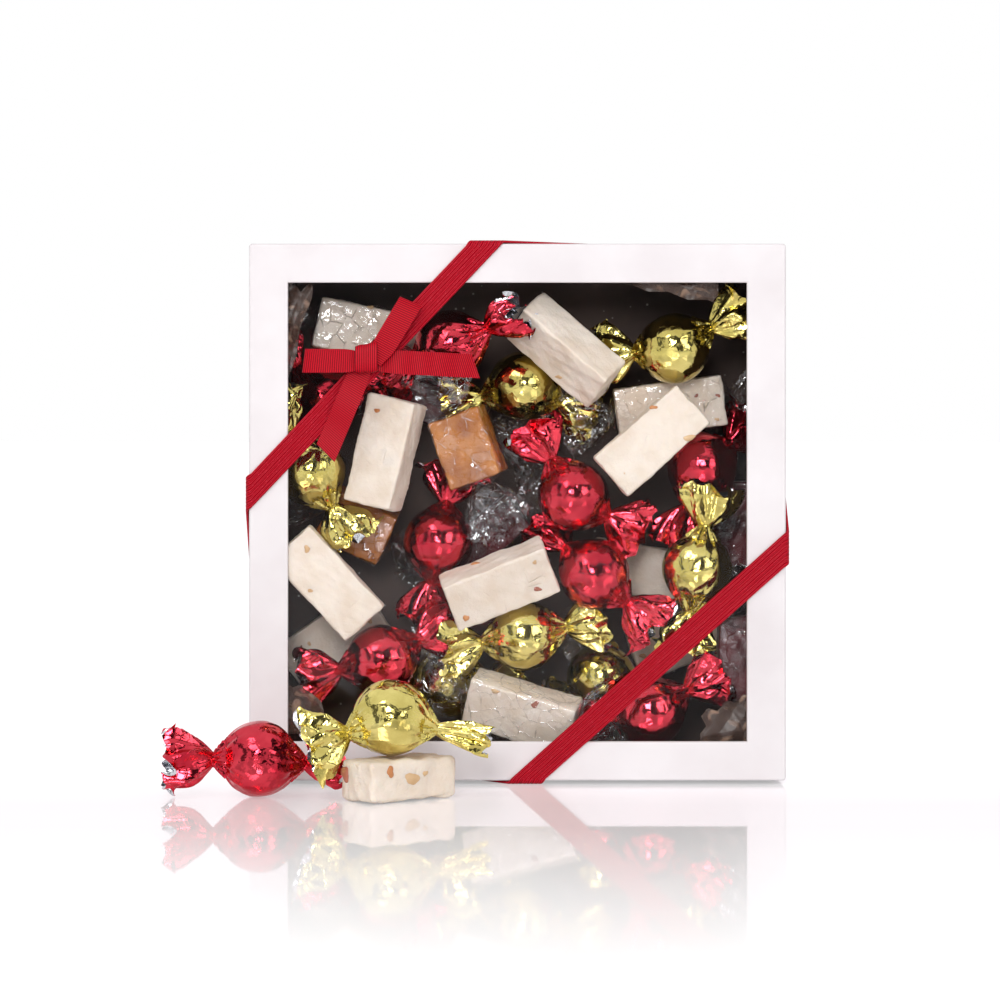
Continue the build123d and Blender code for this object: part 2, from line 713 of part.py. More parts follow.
def elastic_loop():
    """Return the elastic: one closed flat band over two corners in front and the others behind."""
    right = np.array([1.0, 0.0, 0.0])
    up = np.array([0.0, 0.0, 1.0])
    folds = side_run(-right, up, FRONT_LEFT_CROSSING, BACK_LEFT_CROSSING, 1)[::-1]
    folds += side_run(up, right, FRONT_TOP_CROSSING, BACK_TOP_CROSSING, -1)
    folds += side_run(right, up, FRONT_RIGHT_CROSSING, BACK_RIGHT_CROSSING, -1)[::-1]
    folds += side_run(-up, right, FRONT_FOOT_CROSSING, BACK_FOOT_CROSSING, 1)
    faces = []
    for first, last in zip(folds, folds[1:] + folds[:1]):
        for a, b in ((0, 1), (2, 3)):
            faces.append((first[a], first[b], last[b], last[a]))
        for inner, outer in ((0, 2), (1, 3)):
            faces.append((first[inner], first[outer], last[outer]))
            faces.append((first[inner], last[outer], last[inner]))
    panels = [Face(Wire.make_polygon([Vector(*corner) for corner in face])) for face in faces]
    return Solid(Shell(panels))


# Bow

KNOT_Y = -(ELASTIC_EASE + ELASTIC_THICK + RIBBON_EASE + KNOT_DEPTH / 2)
KNOT_AT = Vector(KNOT_FROM_MIDDLE_X, KNOT_Y, MIDDLE_Z + KNOT_FROM_MIDDLE_Z)


def knot(ease=0.0):
    """Return the ribbon wound round the bow's middle, or the room that its neighbours leave it."""
    size = (KNOT_WIDTH + 2 * ease, KNOT_DEPTH + 2 * ease, KNOT_HEIGHT + 2 * ease)
    body = Box(*size)
    return Pos(KNOT_AT) * fillet(body.edges(), KNOT_ROUND + ease)


def ribbon_plane(angle, aside=0.0):
    """Return the plane across a ribbon that leaves the knot: along it, then to the back."""
    a = math.radians(angle)
    along = Vector(math.cos(a), 0, math.sin(a))
    across = Vector(-math.sin(a), 0, math.cos(a))
    return Plane(origin=KNOT_AT - across * aside, x_dir=along, z_dir=across)


def bow_loop(length, angle, aside=0.0):
    """Return one loop of the bow: a ribbon doubled back, pinched where it enters the knot."""
    turn = Vector(length - LOOP_CURL, 0)
    swell = LOOP_CURL + LOOP_BOW
    upper = ThreePointArc((0, RIBBON_THICK), (length / 2, swell), (turn.X, LOOP_CURL))
    end = ThreePointArc((turn.X, LOOP_CURL), (length, 0), (turn.X, -LOOP_CURL))
    lower = ThreePointArc((turn.X, -LOOP_CURL), (length / 2, -swell), (0, -RIBBON_THICK))
    pinch = Line((0, -RIBBON_THICK), (0, RIBBON_THICK))
    outline = make_face(Curve() + [upper, end, lower, pinch])
    band = outline - offset(outline, amount=-RIBBON_THICK)
    return extrude(ribbon_plane(angle, aside) * band, amount=RIBBON_WIDTH / 2, both=True) - knot(RIBBON_EASE)


def bow_tail(length, angle, aside=0.0):
    """Return one tail of the bow: a wavy ribbon, cut off at a slant."""
    place = ribbon_plane(angle, aside)
    wave = length / (2 * TAIL_WAVES)
    drop = KNOT_DEPTH / 2 - TAIL_WAVE - RIBBON_THICK
    crest = [(-1) ** i * TAIL_WAVE for i in range(2 * TAIL_WAVES)]
    fore = [
        ThreePointArc((i * wave, drop), ((i + 1 / 2) * wave, drop + rise), ((i + 1) * wave, drop))
        for i, rise in enumerate(crest)
    ]
    aft = [Pos(0, RIBBON_THICK) * arc for arc in fore]
    ends = [Line((u, drop), (u, drop + RIBBON_THICK)) for u in (0, length)]
    strip = extrude(place * make_face(Curve() + fore + aft + ends), RIBBON_WIDTH / 2, both=True)
    half = RIBBON_WIDTH / 2
    plan = Polyline((0, -half), (length, -half), (length - TAIL_SLANT, half), (0, half), close=True)
    across = Plane(origin=place.origin, x_dir=place.x_dir, z_dir=(0, -1, 0))
    return (strip & extrude(across * make_face(plan), KNOT_DEPTH, both=True)) - knot(RIBBON_EASE)


def bow_pieces():
    """Yield the knot, the two loops and the two tails."""
    right_tail_top = RIBBON_WIDTH / 2 - RIGHT_TAIL_ASIDE + RIBBON_EASE
    over_tail = Plane(origin=KNOT_AT + Vector(0, 0, right_tail_top), z_dir=(0, 0, 1))
    under_knot = Plane(origin=KNOT_AT - Vector(0, 0, KNOT_HEIGHT / 2 + RIBBON_EASE), z_dir=(0, 0, -1))
    upper_loop = bow_loop(UPPER_LOOP, UPPER_LOOP_ANGLE, UPPER_LOOP_ASIDE)
    lower_tail = bow_tail(LOWER_TAIL, LOWER_TAIL_ANGLE)
    yield "bow_knot", knot()
    yield "bow_left_loop", bow_loop(LEFT_LOOP, LEFT_LOOP_ANGLE, LEFT_LOOP_ASIDE)
    yield "bow_upper_loop", split(upper_loop, over_tail)
    yield "bow_right_tail", bow_tail(RIGHT_TAIL, RIGHT_TAIL_ANGLE, RIGHT_TAIL_ASIDE)
    yield "bow_lower_tail", split(lower_tail, under_knot)


# Contents

def tray_contents():
    """Yield every paper and sweet in the tray, then the films and the chocolate centres."""
    filled = Filled(int(INSIDE / GRID_STEP), len(near_sweet_shares + far_sweet_shares + gap_sweet_shares))
    settled = settle(near_sweet_shares, False, filled)
    settled += settle(far_sweet_shares, True, filled)
    settled += settle(gap_sweet_shares, False, filled)
    films = {CARAMEL: [], TOFFEE: [], (NOUGAT_LENGTH, NOUGAT_WIDTH, NOUGAT_THICK): []}
    centres = []
    for sweet in settled:
        if isinstance(sweet, Paper):
            yield sweet.node, sweet.sheet()
        elif isinstance(sweet, FoilSweet):
            yield sweet.node, sweet.wrapper()
            centres.append(sweet.centre())
        else:
            yield sweet.node, sweet.sweet()
            if sweet.fans:
                films[sweet.size].append(sweet.film())
    for node, group in zip(("caramel_films", "toffee_films", "nougat_films"), films.values()):
        yield node, Compound(group)
    yield "chocolate_centres", Compound(centres)


def loose_sweets():
    """Yield the three sweets that stand in front of the box."""
    radius = LOOSE_BALL_DIAMETER / 2
    red = FoilSweet("loose_red", 0, 0, (Fan(180, -6, 0, 1.2), Fan(-6, 6, 0, 0.8)), LOOSE_BALL_DIAMETER,
                    (LOOSE_RED_X, -LOOSE_RED_AHEAD, radius))
    bar = BarSweet("loose_nougat_bar", 0, 0, 0, LOOSE_NOUGAT_YAW, 90, (),
                   (LOOSE_NOUGAT_LENGTH, LOOSE_NOUGAT_WIDTH, LOOSE_NOUGAT_THICK),
                   (LOOSE_NOUGAT_X, -LOOSE_NOUGAT_AHEAD, LOOSE_NOUGAT_THICK / 2))
    gold = FoilSweet("loose_gold", 0, 0, (Fan(199, -8, 0, 1.2), Fan(-14, 0, 0, 1.0)), LOOSE_BALL_DIAMETER,
                     (LOOSE_GOLD_X, -LOOSE_GOLD_AHEAD, LOOSE_NOUGAT_THICK + LOOSE_SEAT + radius))
    yield bar.node, bar.sweet()
    for sweet in (red, gold):
        yield f"{sweet.node}_foil", sweet.wrapper()
        yield f"{sweet.node}_centre", sweet.centre()


def main():
    """Build every piece, move them all so that the middle of the foot is the origin, and write them."""
    pieces = dict(itertools.chain(
        lid_pieces(), tray_pieces(), [("elastic_loop", elastic_loop())], bow_pieces(), tray_contents(),
        loose_sweets()))
    room = Compound(pieces.values()).bounding_box()
    shift = Pos(-room.center().X, -room.center().Y, -room.min.Z)
    os.makedirs("parts", exist_ok=True)
    for node, piece in pieces.items():
        export_step(shift * piece, f"parts/{node}.step")


main()
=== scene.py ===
"""Dresses a square gift box of sweets: lid with a clear window, elastic, ribbon bow and sweets.

Lengths are in metres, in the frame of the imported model: X to the right, Y to the back, Z up.
"""

from __future__ import annotations

import json
import logging
import math
import random
from collections.abc import Callable
from dataclasses import dataclass, field
from enum import Enum

import bmesh
import bpy
import numpy as np
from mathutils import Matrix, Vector

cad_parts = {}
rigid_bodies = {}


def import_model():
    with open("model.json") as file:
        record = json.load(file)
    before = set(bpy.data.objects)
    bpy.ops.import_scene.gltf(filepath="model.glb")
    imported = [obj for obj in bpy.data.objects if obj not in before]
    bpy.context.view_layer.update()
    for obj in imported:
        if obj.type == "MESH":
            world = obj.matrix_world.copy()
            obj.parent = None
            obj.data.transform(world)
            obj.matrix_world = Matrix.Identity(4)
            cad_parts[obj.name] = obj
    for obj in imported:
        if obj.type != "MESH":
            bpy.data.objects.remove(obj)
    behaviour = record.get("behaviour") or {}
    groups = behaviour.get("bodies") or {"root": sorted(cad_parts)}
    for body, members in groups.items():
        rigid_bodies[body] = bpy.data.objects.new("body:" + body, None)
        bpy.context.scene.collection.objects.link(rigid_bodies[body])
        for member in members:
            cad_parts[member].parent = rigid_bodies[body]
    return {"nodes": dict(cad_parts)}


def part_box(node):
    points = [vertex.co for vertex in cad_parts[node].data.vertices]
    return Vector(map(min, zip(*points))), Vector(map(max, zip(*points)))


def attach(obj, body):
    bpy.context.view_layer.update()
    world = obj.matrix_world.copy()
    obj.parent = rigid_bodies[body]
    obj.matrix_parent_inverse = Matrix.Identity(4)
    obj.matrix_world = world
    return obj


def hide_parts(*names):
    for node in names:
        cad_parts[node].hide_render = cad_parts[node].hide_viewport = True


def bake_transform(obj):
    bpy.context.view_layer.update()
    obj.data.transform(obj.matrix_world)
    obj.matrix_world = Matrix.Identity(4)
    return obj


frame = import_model()

LOG = logging.getLogger("sweet_box")
MM = 0.001
SEED = 41
MADE: dict[str, bpy.types.Material] = {}
FULL_TURN = 2 * math.pi
TINY = 1e-9

Course = Callable[[np.ndarray, np.ndarray], np.ndarray]


def linear(hex_colour: str, alpha: float = 1.0) -> tuple[float, float, float, float]:
    """Turn an sRGB hex colour to linear values.

    Args:
        hex_colour: The colour, such as "B0102A".
        alpha: The fourth value.

    Returns:
        Red, green, blue and alpha, each from 0 to 1.
    """
    parts = (int(hex_colour[i:i + 2], 16) / 255 for i in (0, 2, 4))
    red, green, blue = (v / 12.92 if v <= 0.04045 else ((v + 0.055) / 1.055) ** 2.4 for v in parts)
    return red, green, blue, alpha


def feed(
    tree: bpy.types.NodeTree, node: bpy.types.Node, inputs: dict[str | int, object]
) -> None:
    """Link or set the inputs of a node.

    Args:
        tree: The node's tree.
        node: The node.
        inputs: For each input, the socket that feeds it or its value.
    """
    for key, value in inputs.items():
        if isinstance(value, bpy.types.NodeSocket):
            tree.links.new(value, node.inputs[key])
        else:
            node.inputs[key].default_value = value


def add_node(
    tree: bpy.types.NodeTree,
    kind: str,
    inputs: dict[str | int, object] | None = None,
    stops: dict[float, str] | None = None,
    held: bool = False,
    **settings: object,
) -> bpy.types.Node:
    """Add a node with its settings and its links.

    Args:
        tree: The tree that the node goes into.
        kind: The node's type.
        inputs: For each input, the socket that feeds it or its value.
        stops: For a colour ramp, the hex colour at each place from 0 to 1.
        held: Whether each colour of the ramp holds until the next one.
        **settings: The node's own settings.

    Returns:
        The new node.
    """
    node = tree.nodes.new(kind)
    for key, value in settings.items():
        setattr(node, key, value)
    feed(tree, node, inputs or {})
    for number, (place, colour) in enumerate((stops or {}).items()):
        ramp = node.color_ramp
        ramp.interpolation = "CONSTANT" if held else "LINEAR"
        element = ramp.elements[number] if number < 2 else ramp.elements.new(place)
        element.color = linear(colour)
        element.position = place
    return node


def creases(
    tree: bpy.types.NodeTree, place: bpy.types.NodeSocket, pitch_mm: float, line_share: float
) -> tuple[bpy.types.NodeSocket, bpy.types.NodeSocket]:
    """Draw the sharp lines along which foil or film has been folded.

    Args:
        tree: The tree that the nodes go into.
        place: The piece's own coordinates.
        pitch_mm: The mean distance between two creases.
        line_share: The width of a crease as a share of that distance.

    Returns:
        A value of 1 on a crease and 0 between, and a random colour for each facet.
    """
    drift_share = 0.45
    scale = 1 / (pitch_mm * MM)
    drift = add_node(tree, "ShaderNodeTexNoise", {"Vector": place, "Scale": scale, "Detail": 1.0})
    shift = add_node(
        tree, "ShaderNodeVectorMath",
        {0: drift.outputs["Color"], 1: (pitch_mm * drift_share * MM,) * 3},
        operation="MULTIPLY")
    bent = add_node(
        tree, "ShaderNodeVectorMath", {0: place, 1: shift.outputs[0]}, operation="ADD").outputs[0]
    edge = add_node(
        tree, "ShaderNodeTexVoronoi", {"Vector": bent, "Scale": scale}, feature="DISTANCE_TO_EDGE")
    facet = add_node(tree, "ShaderNodeTexVoronoi", {"Vector": bent, "Scale": scale})
    line = add_node(
        tree, "ShaderNodeMapRange",
        {"Value": edge.outputs["Distance"], "From Min": line_share, "From Max": 0.0})
    return line.outputs["Result"], facet.outputs["Color"]


class Ribs(Enum):
    """Which way the ribs of a woven tape run, by the part of its map along which they follow."""

    ACROSS = "X"
    ALONG = "Y"


@dataclass(frozen=True)
class Finish:
    """A finish by its name; each kind adds its own values and fills in the tree."""

    name: str

    def shade(
        self, tree: bpy.types.NodeTree, shader: bpy.types.Node, place: bpy.types.NodeSocket
    ) -> None:
        """Fill in the shader's sockets."""

    def material(self) -> bpy.types.Material:
        """Make the material once, and find it again after that.

        Returns:
            The material.
        """
        if self.name in MADE:
            return MADE[self.name]
        material = MADE[self.name] = bpy.data.materials.new(self.name)
        material.use_nodes = True
        tree = material.node_tree
        shader = tree.nodes["Principled BSDF"]
        place = add_node(tree, "ShaderNodeTexCoord").outputs["Object"]
        self.shade(tree, shader, place)
        return material


@dataclass(frozen=True)
class Paper(Finish):
    """Coated or plain paper and board: matt, with fibres a few tenths of a millimetre long."""

    pale: str
    dark: str
    fibre_mm: float
    roughness: float
    relief: float
    gloss: float = 0.35
    speck: str = ""
    speck_mm: float = 1.6
    cloud_mm: float = 40.0
    relief_mm: float = 0.1

    def shade(
        self, tree: bpy.types.NodeTree, shader: bpy.types.Node, place: bpy.types.NodeSocket
    ) -> None:
        """Cloud the colour gently, raise the fibres and scatter any specks.

        Args:
            tree: The material's tree.
            shader: Its Principled BSDF.
            place: The piece's own coordinates.
        """
        cloud = add_node(
            tree, "ShaderNodeTexNoise",
            {"Vector": place, "Scale": 1 / (self.cloud_mm * MM), "Detail": 4.0})
        fibre = add_node(
            tree, "ShaderNodeTexNoise",
            {"Vector": place, "Scale": 1 / (self.fibre_mm * MM), "Detail": 3.0})
        colour = add_node(
            tree, "ShaderNodeValToRGB",
            {"Fac": cloud.outputs["Fac"]}, {0.35: self.dark, 0.65: self.pale})
        colour = colour.outputs["Color"]
        if self.speck:
            cells = add_node(
                tree, "ShaderNodeTexVoronoi", {"Vector": place, "Scale": 1 / (self.speck_mm * MM)})
            spot = add_node(
                tree, "ShaderNodeMapRange",
                {"Value": cells.outputs["Distance"], "From Min": 0.16, "From Max": 0.08})
            chance = add_node(tree, "ShaderNodeSeparateColor", {"Color": cells.outputs["Color"]})
            some = add_node(
                tree, "ShaderNodeMapRange",
                {"Value": chance.outputs["Red"], "From Min": 0.72, "From Max": 0.74})
            both = add_node(
                tree, "ShaderNodeMath", {0: spot.outputs["Result"], 1: some.outputs["Result"]},
                operation="MULTIPLY")
            colour = add_node(
                tree, "ShaderNodeMix", {0: both.outputs[0], 6: colour, 7: linear(self.speck)},
                data_type="RGBA").outputs[2]
        bump = add_node(
            tree, "ShaderNodeBump",
            {"Strength": self.relief, "Distance": self.relief_mm * MM,
             "Height": fibre.outputs["Fac"]})
        feed(tree, shader, {
            "Base Color": colour, "Normal": bump.outputs["Normal"], "Roughness": self.roughness,
            "Specular IOR Level": self.gloss})


@dataclass(frozen=True)
class ClearFilm(Finish):
    """Clear plastic film: nearly nothing to see but its gloss, and more of it where it is creased.

    The alphas are the share of what is seen that the film's mirror gives: on flat film, on some
    of its facets, where it turns away from the eye, and on a crease.
    """

    clear: float
    roughness: float
    facet: float = 0.0
    steep: float = 0.0
    creased: float = 0.0
    relief: float = 0.0
    crease_mm: float = 6.0
    patch_mm: float = 4.2
    relief_mm: float = 1.2
    tint: str = "F7F7FA"

    def shade(
        self, tree: bpy.types.NodeTree, shader: bpy.types.Node, place: bpy.types.NodeSocket
    ) -> None:
        """Leave the film clear and let its creases and slopes catch the light.

        Args:
            tree: The material's tree.
            shader: Its Principled BSDF.
            place: The piece's own coordinates.
        """
        feed(tree, shader, {
            "Base Color": linear(self.tint), "Metallic": 1.0, "Roughness": self.roughness,
            "Alpha": self.clear})
        if not self.creased:
            return
        line, facet = creases(tree, place, self.crease_mm, 0.05)
        patch = add_node(
            tree, "ShaderNodeTexNoise",
            {"Vector": place, "Scale": 1 / (self.patch_mm * MM), "Detail": 2.0})
        height = add_node(tree, "ShaderNodeMix", {0: 0.7, 2: line, 3: patch.outputs["Fac"]})
        some = add_node(
            tree, "ShaderNodeMapRange",
            {"Value": patch.outputs["Fac"], "From Min": 0.50, "From Max": 0.62})
        drawn = add_node(
            tree, "ShaderNodeMath",
            {0: line, 1: some.outputs["Result"]}, operation="MULTIPLY")
        chance = add_node(tree, "ShaderNodeSeparateColor", {"Color": facet})
        bump = add_node(
            tree, "ShaderNodeBump",
            {"Strength": self.relief, "Distance": self.relief_mm * MM, "Height": height.outputs[0]})
        slant = add_node(
            tree, "ShaderNodeLayerWeight",
            {"Blend": 0.5, "Normal": bump.outputs["Normal"]})
        alpha = self.clear
        for factor, low, high, most in (
            (chance.outputs["Red"], 0.5, 0.95, self.facet),
            (slant.outputs["Facing"], 0.45, 0.93, self.steep),
            (drawn.outputs[0], 0.0, 1.0, self.creased),
        ):
            level = add_node(
                tree, "ShaderNodeMapRange",
                {"Value": factor, "From Min": low, "From Max": high,
                 "To Min": self.clear, "To Max": most})
            alpha = add_node(
                tree, "ShaderNodeMath", {0: alpha, 1: level.outputs["Result"]},
                operation="MAXIMUM").outputs[0]
        feed(tree, shader, {"Alpha": alpha, "Normal": bump.outputs["Normal"]})


@dataclass(frozen=True)
class ColouredFoil(Finish):
    """Lacquered aluminium confectionery foil: a mirror dyed by its lacquer, with sharp creases."""

    lit: str
    deep: str
    crease_mm: float = 6.5
    dent_mm: float = 2.6
    tilt_mm: float = 4.0
    cloud_mm: float = 9.0
    roughness: float = 0.11
    relief: float = 0.36
    relief_mm: float = 0.3

    def shade(
        self, tree: bpy.types.NodeTree, shader: bpy.types.Node, place: bpy.types.NodeSocket
    ) -> None:
        """Dye the metal and crease it.

        Args:
            tree: The material's tree.
            shader: Its Principled BSDF.
            place: The piece's own coordinates.
        """
        cloud = add_node(
            tree, "ShaderNodeTexNoise",
            {"Vector": place, "Scale": 1 / (self.cloud_mm * MM), "Detail": 3.0})
        colour = add_node(
            tree, "ShaderNodeValToRGB",
            {"Fac": cloud.outputs["Fac"]}, {0.3: self.deep, 0.7: self.lit})
        line, _ = creases(tree, place, self.crease_mm, 0.10)
        fine, _ = creases(tree, place, self.dent_mm, 0.16)
        tilt = add_node(
            tree, "ShaderNodeTexNoise",
            {"Vector": place, "Scale": 1 / (self.tilt_mm * MM), "Detail": 1.0})
        sharp = add_node(tree, "ShaderNodeMix", {0: 0.35, 2: line, 3: fine})
        height = add_node(
            tree, "ShaderNodeMix",
            {0: 0.45, 2: sharp.outputs[0], 3: tilt.outputs["Fac"]})
        bump = add_node(
            tree, "ShaderNodeBump",
            {"Strength": self.relief, "Distance": self.relief_mm * MM, "Height": height.outputs[0]})
        feed(tree, shader, {
            "Base Color": colour.outputs["Color"], "Normal": bump.outputs["Normal"],
            "Metallic": 1.0, "Roughness": self.roughness})


@dataclass(frozen=True)
class WovenTape(Finish):
    """Dyed polyester tape, woven in ribs: a soft sheen on each rib and the shade of the gaps,
    partly painted into its colour.
    """

    # lit is a painted highlight on the top of each rib and deep a painted shade in each groove.
    lit: str
    deep: str
    rib_mm: float
    ribs: Ribs
    speck: str = ""
    thread_mm: float = 0.35
    speck_mm: float = 0.8
    relief_mm: float = 0.15
    sheen: str = "E0344C"

    def shade(
        self, tree: bpy.types.NodeTree, shader: bpy.types.Node, place: bpy.types.NodeSocket
    ) -> None:
        """Run the ribs along or across the tape's own map.

        Args:
            tree: The material's tree.
            shader: Its Principled BSDF.
            place: The piece's own coordinates.
        """
        flat = add_node(tree, "ShaderNodeUVMap", uv_map="UVMap").outputs["UV"]
        parts = add_node(tree, "ShaderNodeSeparateXYZ", {"Vector": flat})
        angle = add_node(
            tree, "ShaderNodeMath",
            {0: parts.outputs[self.ribs.value], 1: FULL_TURN / (self.rib_mm * MM)},
            operation="MULTIPLY")
        wave = add_node(tree, "ShaderNodeMath", {0: angle.outputs[0]}, operation="SINE")
        rib = add_node(
            tree, "ShaderNodeMapRange",
            {"Value": wave.outputs[0], "From Min": -1.0, "From Max": 1.0})
        thread = add_node(
            tree, "ShaderNodeTexNoise",
            {"Vector": place, "Scale": 1 / (self.thread_mm * MM), "Detail": 2.0})
        blend = add_node(
            tree, "ShaderNodeMix",
            {0: 0.35, 2: rib.outputs["Result"], 3: thread.outputs["Fac"]})
        # Painted shade and highlight: the colour darkens in each groove and lightens on each rib,
        # following the ribs' height.
        colour = add_node(
            tree, "ShaderNodeValToRGB",
            {"Fac": blend.outputs["Result"]}, {0.12: self.deep, 0.75: self.lit})
        colour = colour.outputs["Color"]
        if self.speck:
            cells = add_node(
                tree, "ShaderNodeTexVoronoi", {"Vector": place, "Scale": 1 / (self.speck_mm * MM)})
            spot = add_node(
                tree, "ShaderNodeMapRange",
                {"Value": cells.outputs["Distance"], "From Min": 0.22, "From Max": 0.10})
            colour = add_node(
                tree, "ShaderNodeMix",
                {0: spot.outputs["Result"], 6: colour, 7: linear(self.speck)},
                data_type="RGBA").outputs[2]
        bump = add_node(
            tree, "ShaderNodeBump",
            {"Strength": 0.5, "Distance": self.relief_mm * MM, "Height": blend.outputs["Result"]})
        feed(tree, shader, {
            "Base Color": colour, "Normal": bump.outputs["Normal"], "Roughness": 0.5,
            "Specular IOR Level": 0.15, "Sheen Weight": 0.04, "Sheen Roughness": 0.4,
            "Sheen Tint": linear(self.sheen)})


@dataclass(frozen=True)
class Confection(Finish):
    """Nougat, caramel, toffee, nut, fruit or chocolate: a clouded body colour and a fine grain."""

    pale: str
    dark: str
    grain_mm: float
    roughness: float
    relief: float
    scatter: float
    crack_mm: float = 0.0
    cloud_mm: float = 11.0
    part_mm: float = 9.0
    scatter_mm: tuple[float, float, float] = (3.0, 2.0, 1.2)

    def shade(
        self, tree: bpy.types.NodeTree, shader: bpy.types.Node, place: bpy.types.NodeSocket
    ) -> None:
        """Cloud the body, roughen the cut and open a few hairlines in it.

        Args:
            tree: The material's tree.
            shader: Its Principled BSDF.
            place: The piece's own coordinates.
        """
        cloud = add_node(
            tree, "ShaderNodeTexNoise",
            {"Vector": place, "Scale": 1 / (self.cloud_mm * MM), "Detail": 6.0})
        colour = add_node(
            tree, "ShaderNodeValToRGB",
            {"Fac": cloud.outputs["Fac"]}, {0.35: self.dark, 0.6: self.pale})
        grain = add_node(
            tree, "ShaderNodeTexNoise",
            {"Vector": place, "Scale": 1 / (self.grain_mm * MM), "Detail": 3.0, "Roughness": 0.55,
             "Distortion": 0.5})
        height = grain.outputs["Fac"]
        if self.crack_mm:
            crack, _ = creases(tree, place, self.crack_mm, 0.05)
            part = add_node(
                tree, "ShaderNodeTexNoise",
                {"Vector": place, "Scale": 1 / (self.part_mm * MM), "Detail": 2.0})
            some = add_node(
                tree, "ShaderNodeMapRange",
                {"Value": part.outputs["Fac"], "From Min": 0.56, "From Max": 0.78})
            deep = add_node(
                tree, "ShaderNodeMath", {0: crack, 1: some.outputs["Result"]}, operation="MULTIPLY")
            height = add_node(
                tree, "ShaderNodeMath",
                {0: height, 1: deep.outputs[0]}, operation="SUBTRACT").outputs[0]
        bump = add_node(
            tree, "ShaderNodeBump",
            {"Strength": self.relief, "Distance": self.grain_mm / 4 * MM, "Height": height})
        feed(tree, shader, {
            "Base Color": colour.outputs["Color"], "Normal": bump.outputs["Normal"],
            "Roughness": self.roughness, "Subsurface Weight": self.scatter,
            "Subsurface Radius": tuple(depth * MM for depth in self.scatter_mm),
            "Subsurface Scale": 1.0})


@dataclass(frozen=True)
class Glassine(Finish):
    """Thin brown glazed paper: it lets light through, and a pale line along each crease is a
    painted highlight.
    """

    # pale is a painted highlight along the creases, and dark is the paper between them.
    pale: str
    dark: str
    crease_mm: float = 6.0
    relief_mm: float = 0.5
    roughness: float = 0.35
    alpha: float = 0.72

    def shade(
        self, tree: bpy.types.NodeTree, shader: bpy.types.Node, place: bpy.types.NodeSocket
    ) -> None:
        """Paint a pale line along each crease as a highlight, and let some of what is behind it
        show.

        Args:
            tree: The material's tree.
            shader: Its Principled BSDF.
            place: The piece's own coordinates.
        """
        crease = add_node(
            tree, "ShaderNodeTexNoise",
            {"Vector": place, "Scale": 1 / (self.crease_mm * MM), "Detail": 5.0, "Distortion": 1.0},
            noise_type="RIDGED_MULTIFRACTAL", normalize=True)
        # Painted highlight: the paper turns pale along its crease lines and stays dark between
        # them.
        colour = add_node(
            tree, "ShaderNodeValToRGB",
            {"Fac": crease.outputs["Fac"]}, {0.04: self.dark, 0.34: self.pale})
        bump = add_node(
            tree, "ShaderNodeBump",
            {"Strength": 0.5, "Distance": self.relief_mm * MM, "Height": crease.outputs["Fac"]})
        feed(tree, shader, {
            "Base Color": colour.outputs["Color"], "Normal": bump.outputs["Normal"],
            "Roughness": self.roughness, "Alpha": self.alpha})


# Clay-coated white paper, pressed smooth: an even, matt white with the faintest cool pink.
WHITE_PAPER = Paper("coated_white_paper", "ECE7E9", "E2DBDD", 0.5, 0.62, 0.12)
# Black pulp-dyed paper, uncoated: it swallows the light, and a few specks of dust stand out on it.
BLACK_PAPER = Paper(
    "black_lining_paper", "5E504B", "463A36", 0.4, 0.6, 0.12, gloss=0.12, speck="A9A29C",
    speck_mm=3.4)
# Recycled greyboard with a raw face: dull and coarse, and seen only where the wrap leaves it bare.
GREYBOARD = Paper("grey_chipboard", "B3ACA4", "9A938C", 0.8, 0.85, 0.3)
# Cast clear PET sheet: flat, and so clear that only a faint mirror of the room gives it away.
WINDOW_FILM = ClearFilm("window_film", 0.007, 0.04)
# Cellulose twist film: glass-clear where it lies flat, with bright slopes and sharp white creases.
WRAP_FILM = ClearFilm(
    "clear_wrapping_film", 0.03, 0.1, facet=0.12, steep=0.52, creased=0.5, relief=0.85)
# Aluminium foil under red lacquer, crumpled by hand: a deep red mirror that its creases break up.
# Real creases are finer than a millimetre. They are drawn at 2.6 and 6.5 mm so that they show.
RED_FOIL = ColouredFoil("lacquered_red_foil", "DC4552", "B62637")
# The same foil under yellow lacquer: a pale gold that mirrors the room more than it shows itself.
GOLD_FOIL = ColouredFoil("lacquered_gold_foil", "E4D584", "C0B05E")
# The foil's bare back: bright silver where a corner of a twist curls over.
SILVER_FOIL = ColouredFoil("silver_foil_back", "DFE0E4", "B4B6BC")
# Covered rubber braid with ribs 1.05 mm apart: a deep red with painted shade in its grooves, a
# painted highlight on its ribs and pale stray threads.
ELASTIC_TAPE = WovenTape("ribbed_elastic", "CC0826", "66000F", 1.05, Ribs.ALONG, "D8485C")
# Polyester grosgrain, woven with ribs 0.8 mm apart across it: a clear red with a fine ladder of
# painted shade and painted highlight.
GROSGRAIN = WovenTape("grosgrain_ribbon", "D00422", "48000A", 0.8, Ribs.ACROSS)
# Whipped sugar and egg white, cut with a knife: creamy and matt, with a few hairlines from the cut.
NOUGAT = Confection("cut_nougat", "EEE1D4", "E3D2C1", 1.3, 0.6, 0.9, 0.15, crack_mm=8.0)
# Almond cut through: a warm tan that stays dry and dull.
ALMOND = Confection("roast_almond", "E2BE94", "CC9F70", 1.0, 0.4, 0.3, 0.1)
# Sugared cherry: dull brown-red with a moist gloss.
CHERRY = Confection("candied_cherry", "B8705A", "96503F", 1.6, 0.25, 0.3, 0.2)
# Sugared orange peel: soft orange with a moist gloss.
ORANGE_PEEL = Confection("candied_orange_peel", "DA9560", "C47A48", 1.6, 0.3, 0.3, 0.2)
# Boiled milk caramel, cut soft: amber brown with a wide soft gloss.
CARAMEL = Confection("soft_caramel", "C47E38", "9A5722", 3.5, 0.25, 0.4, 0.2)
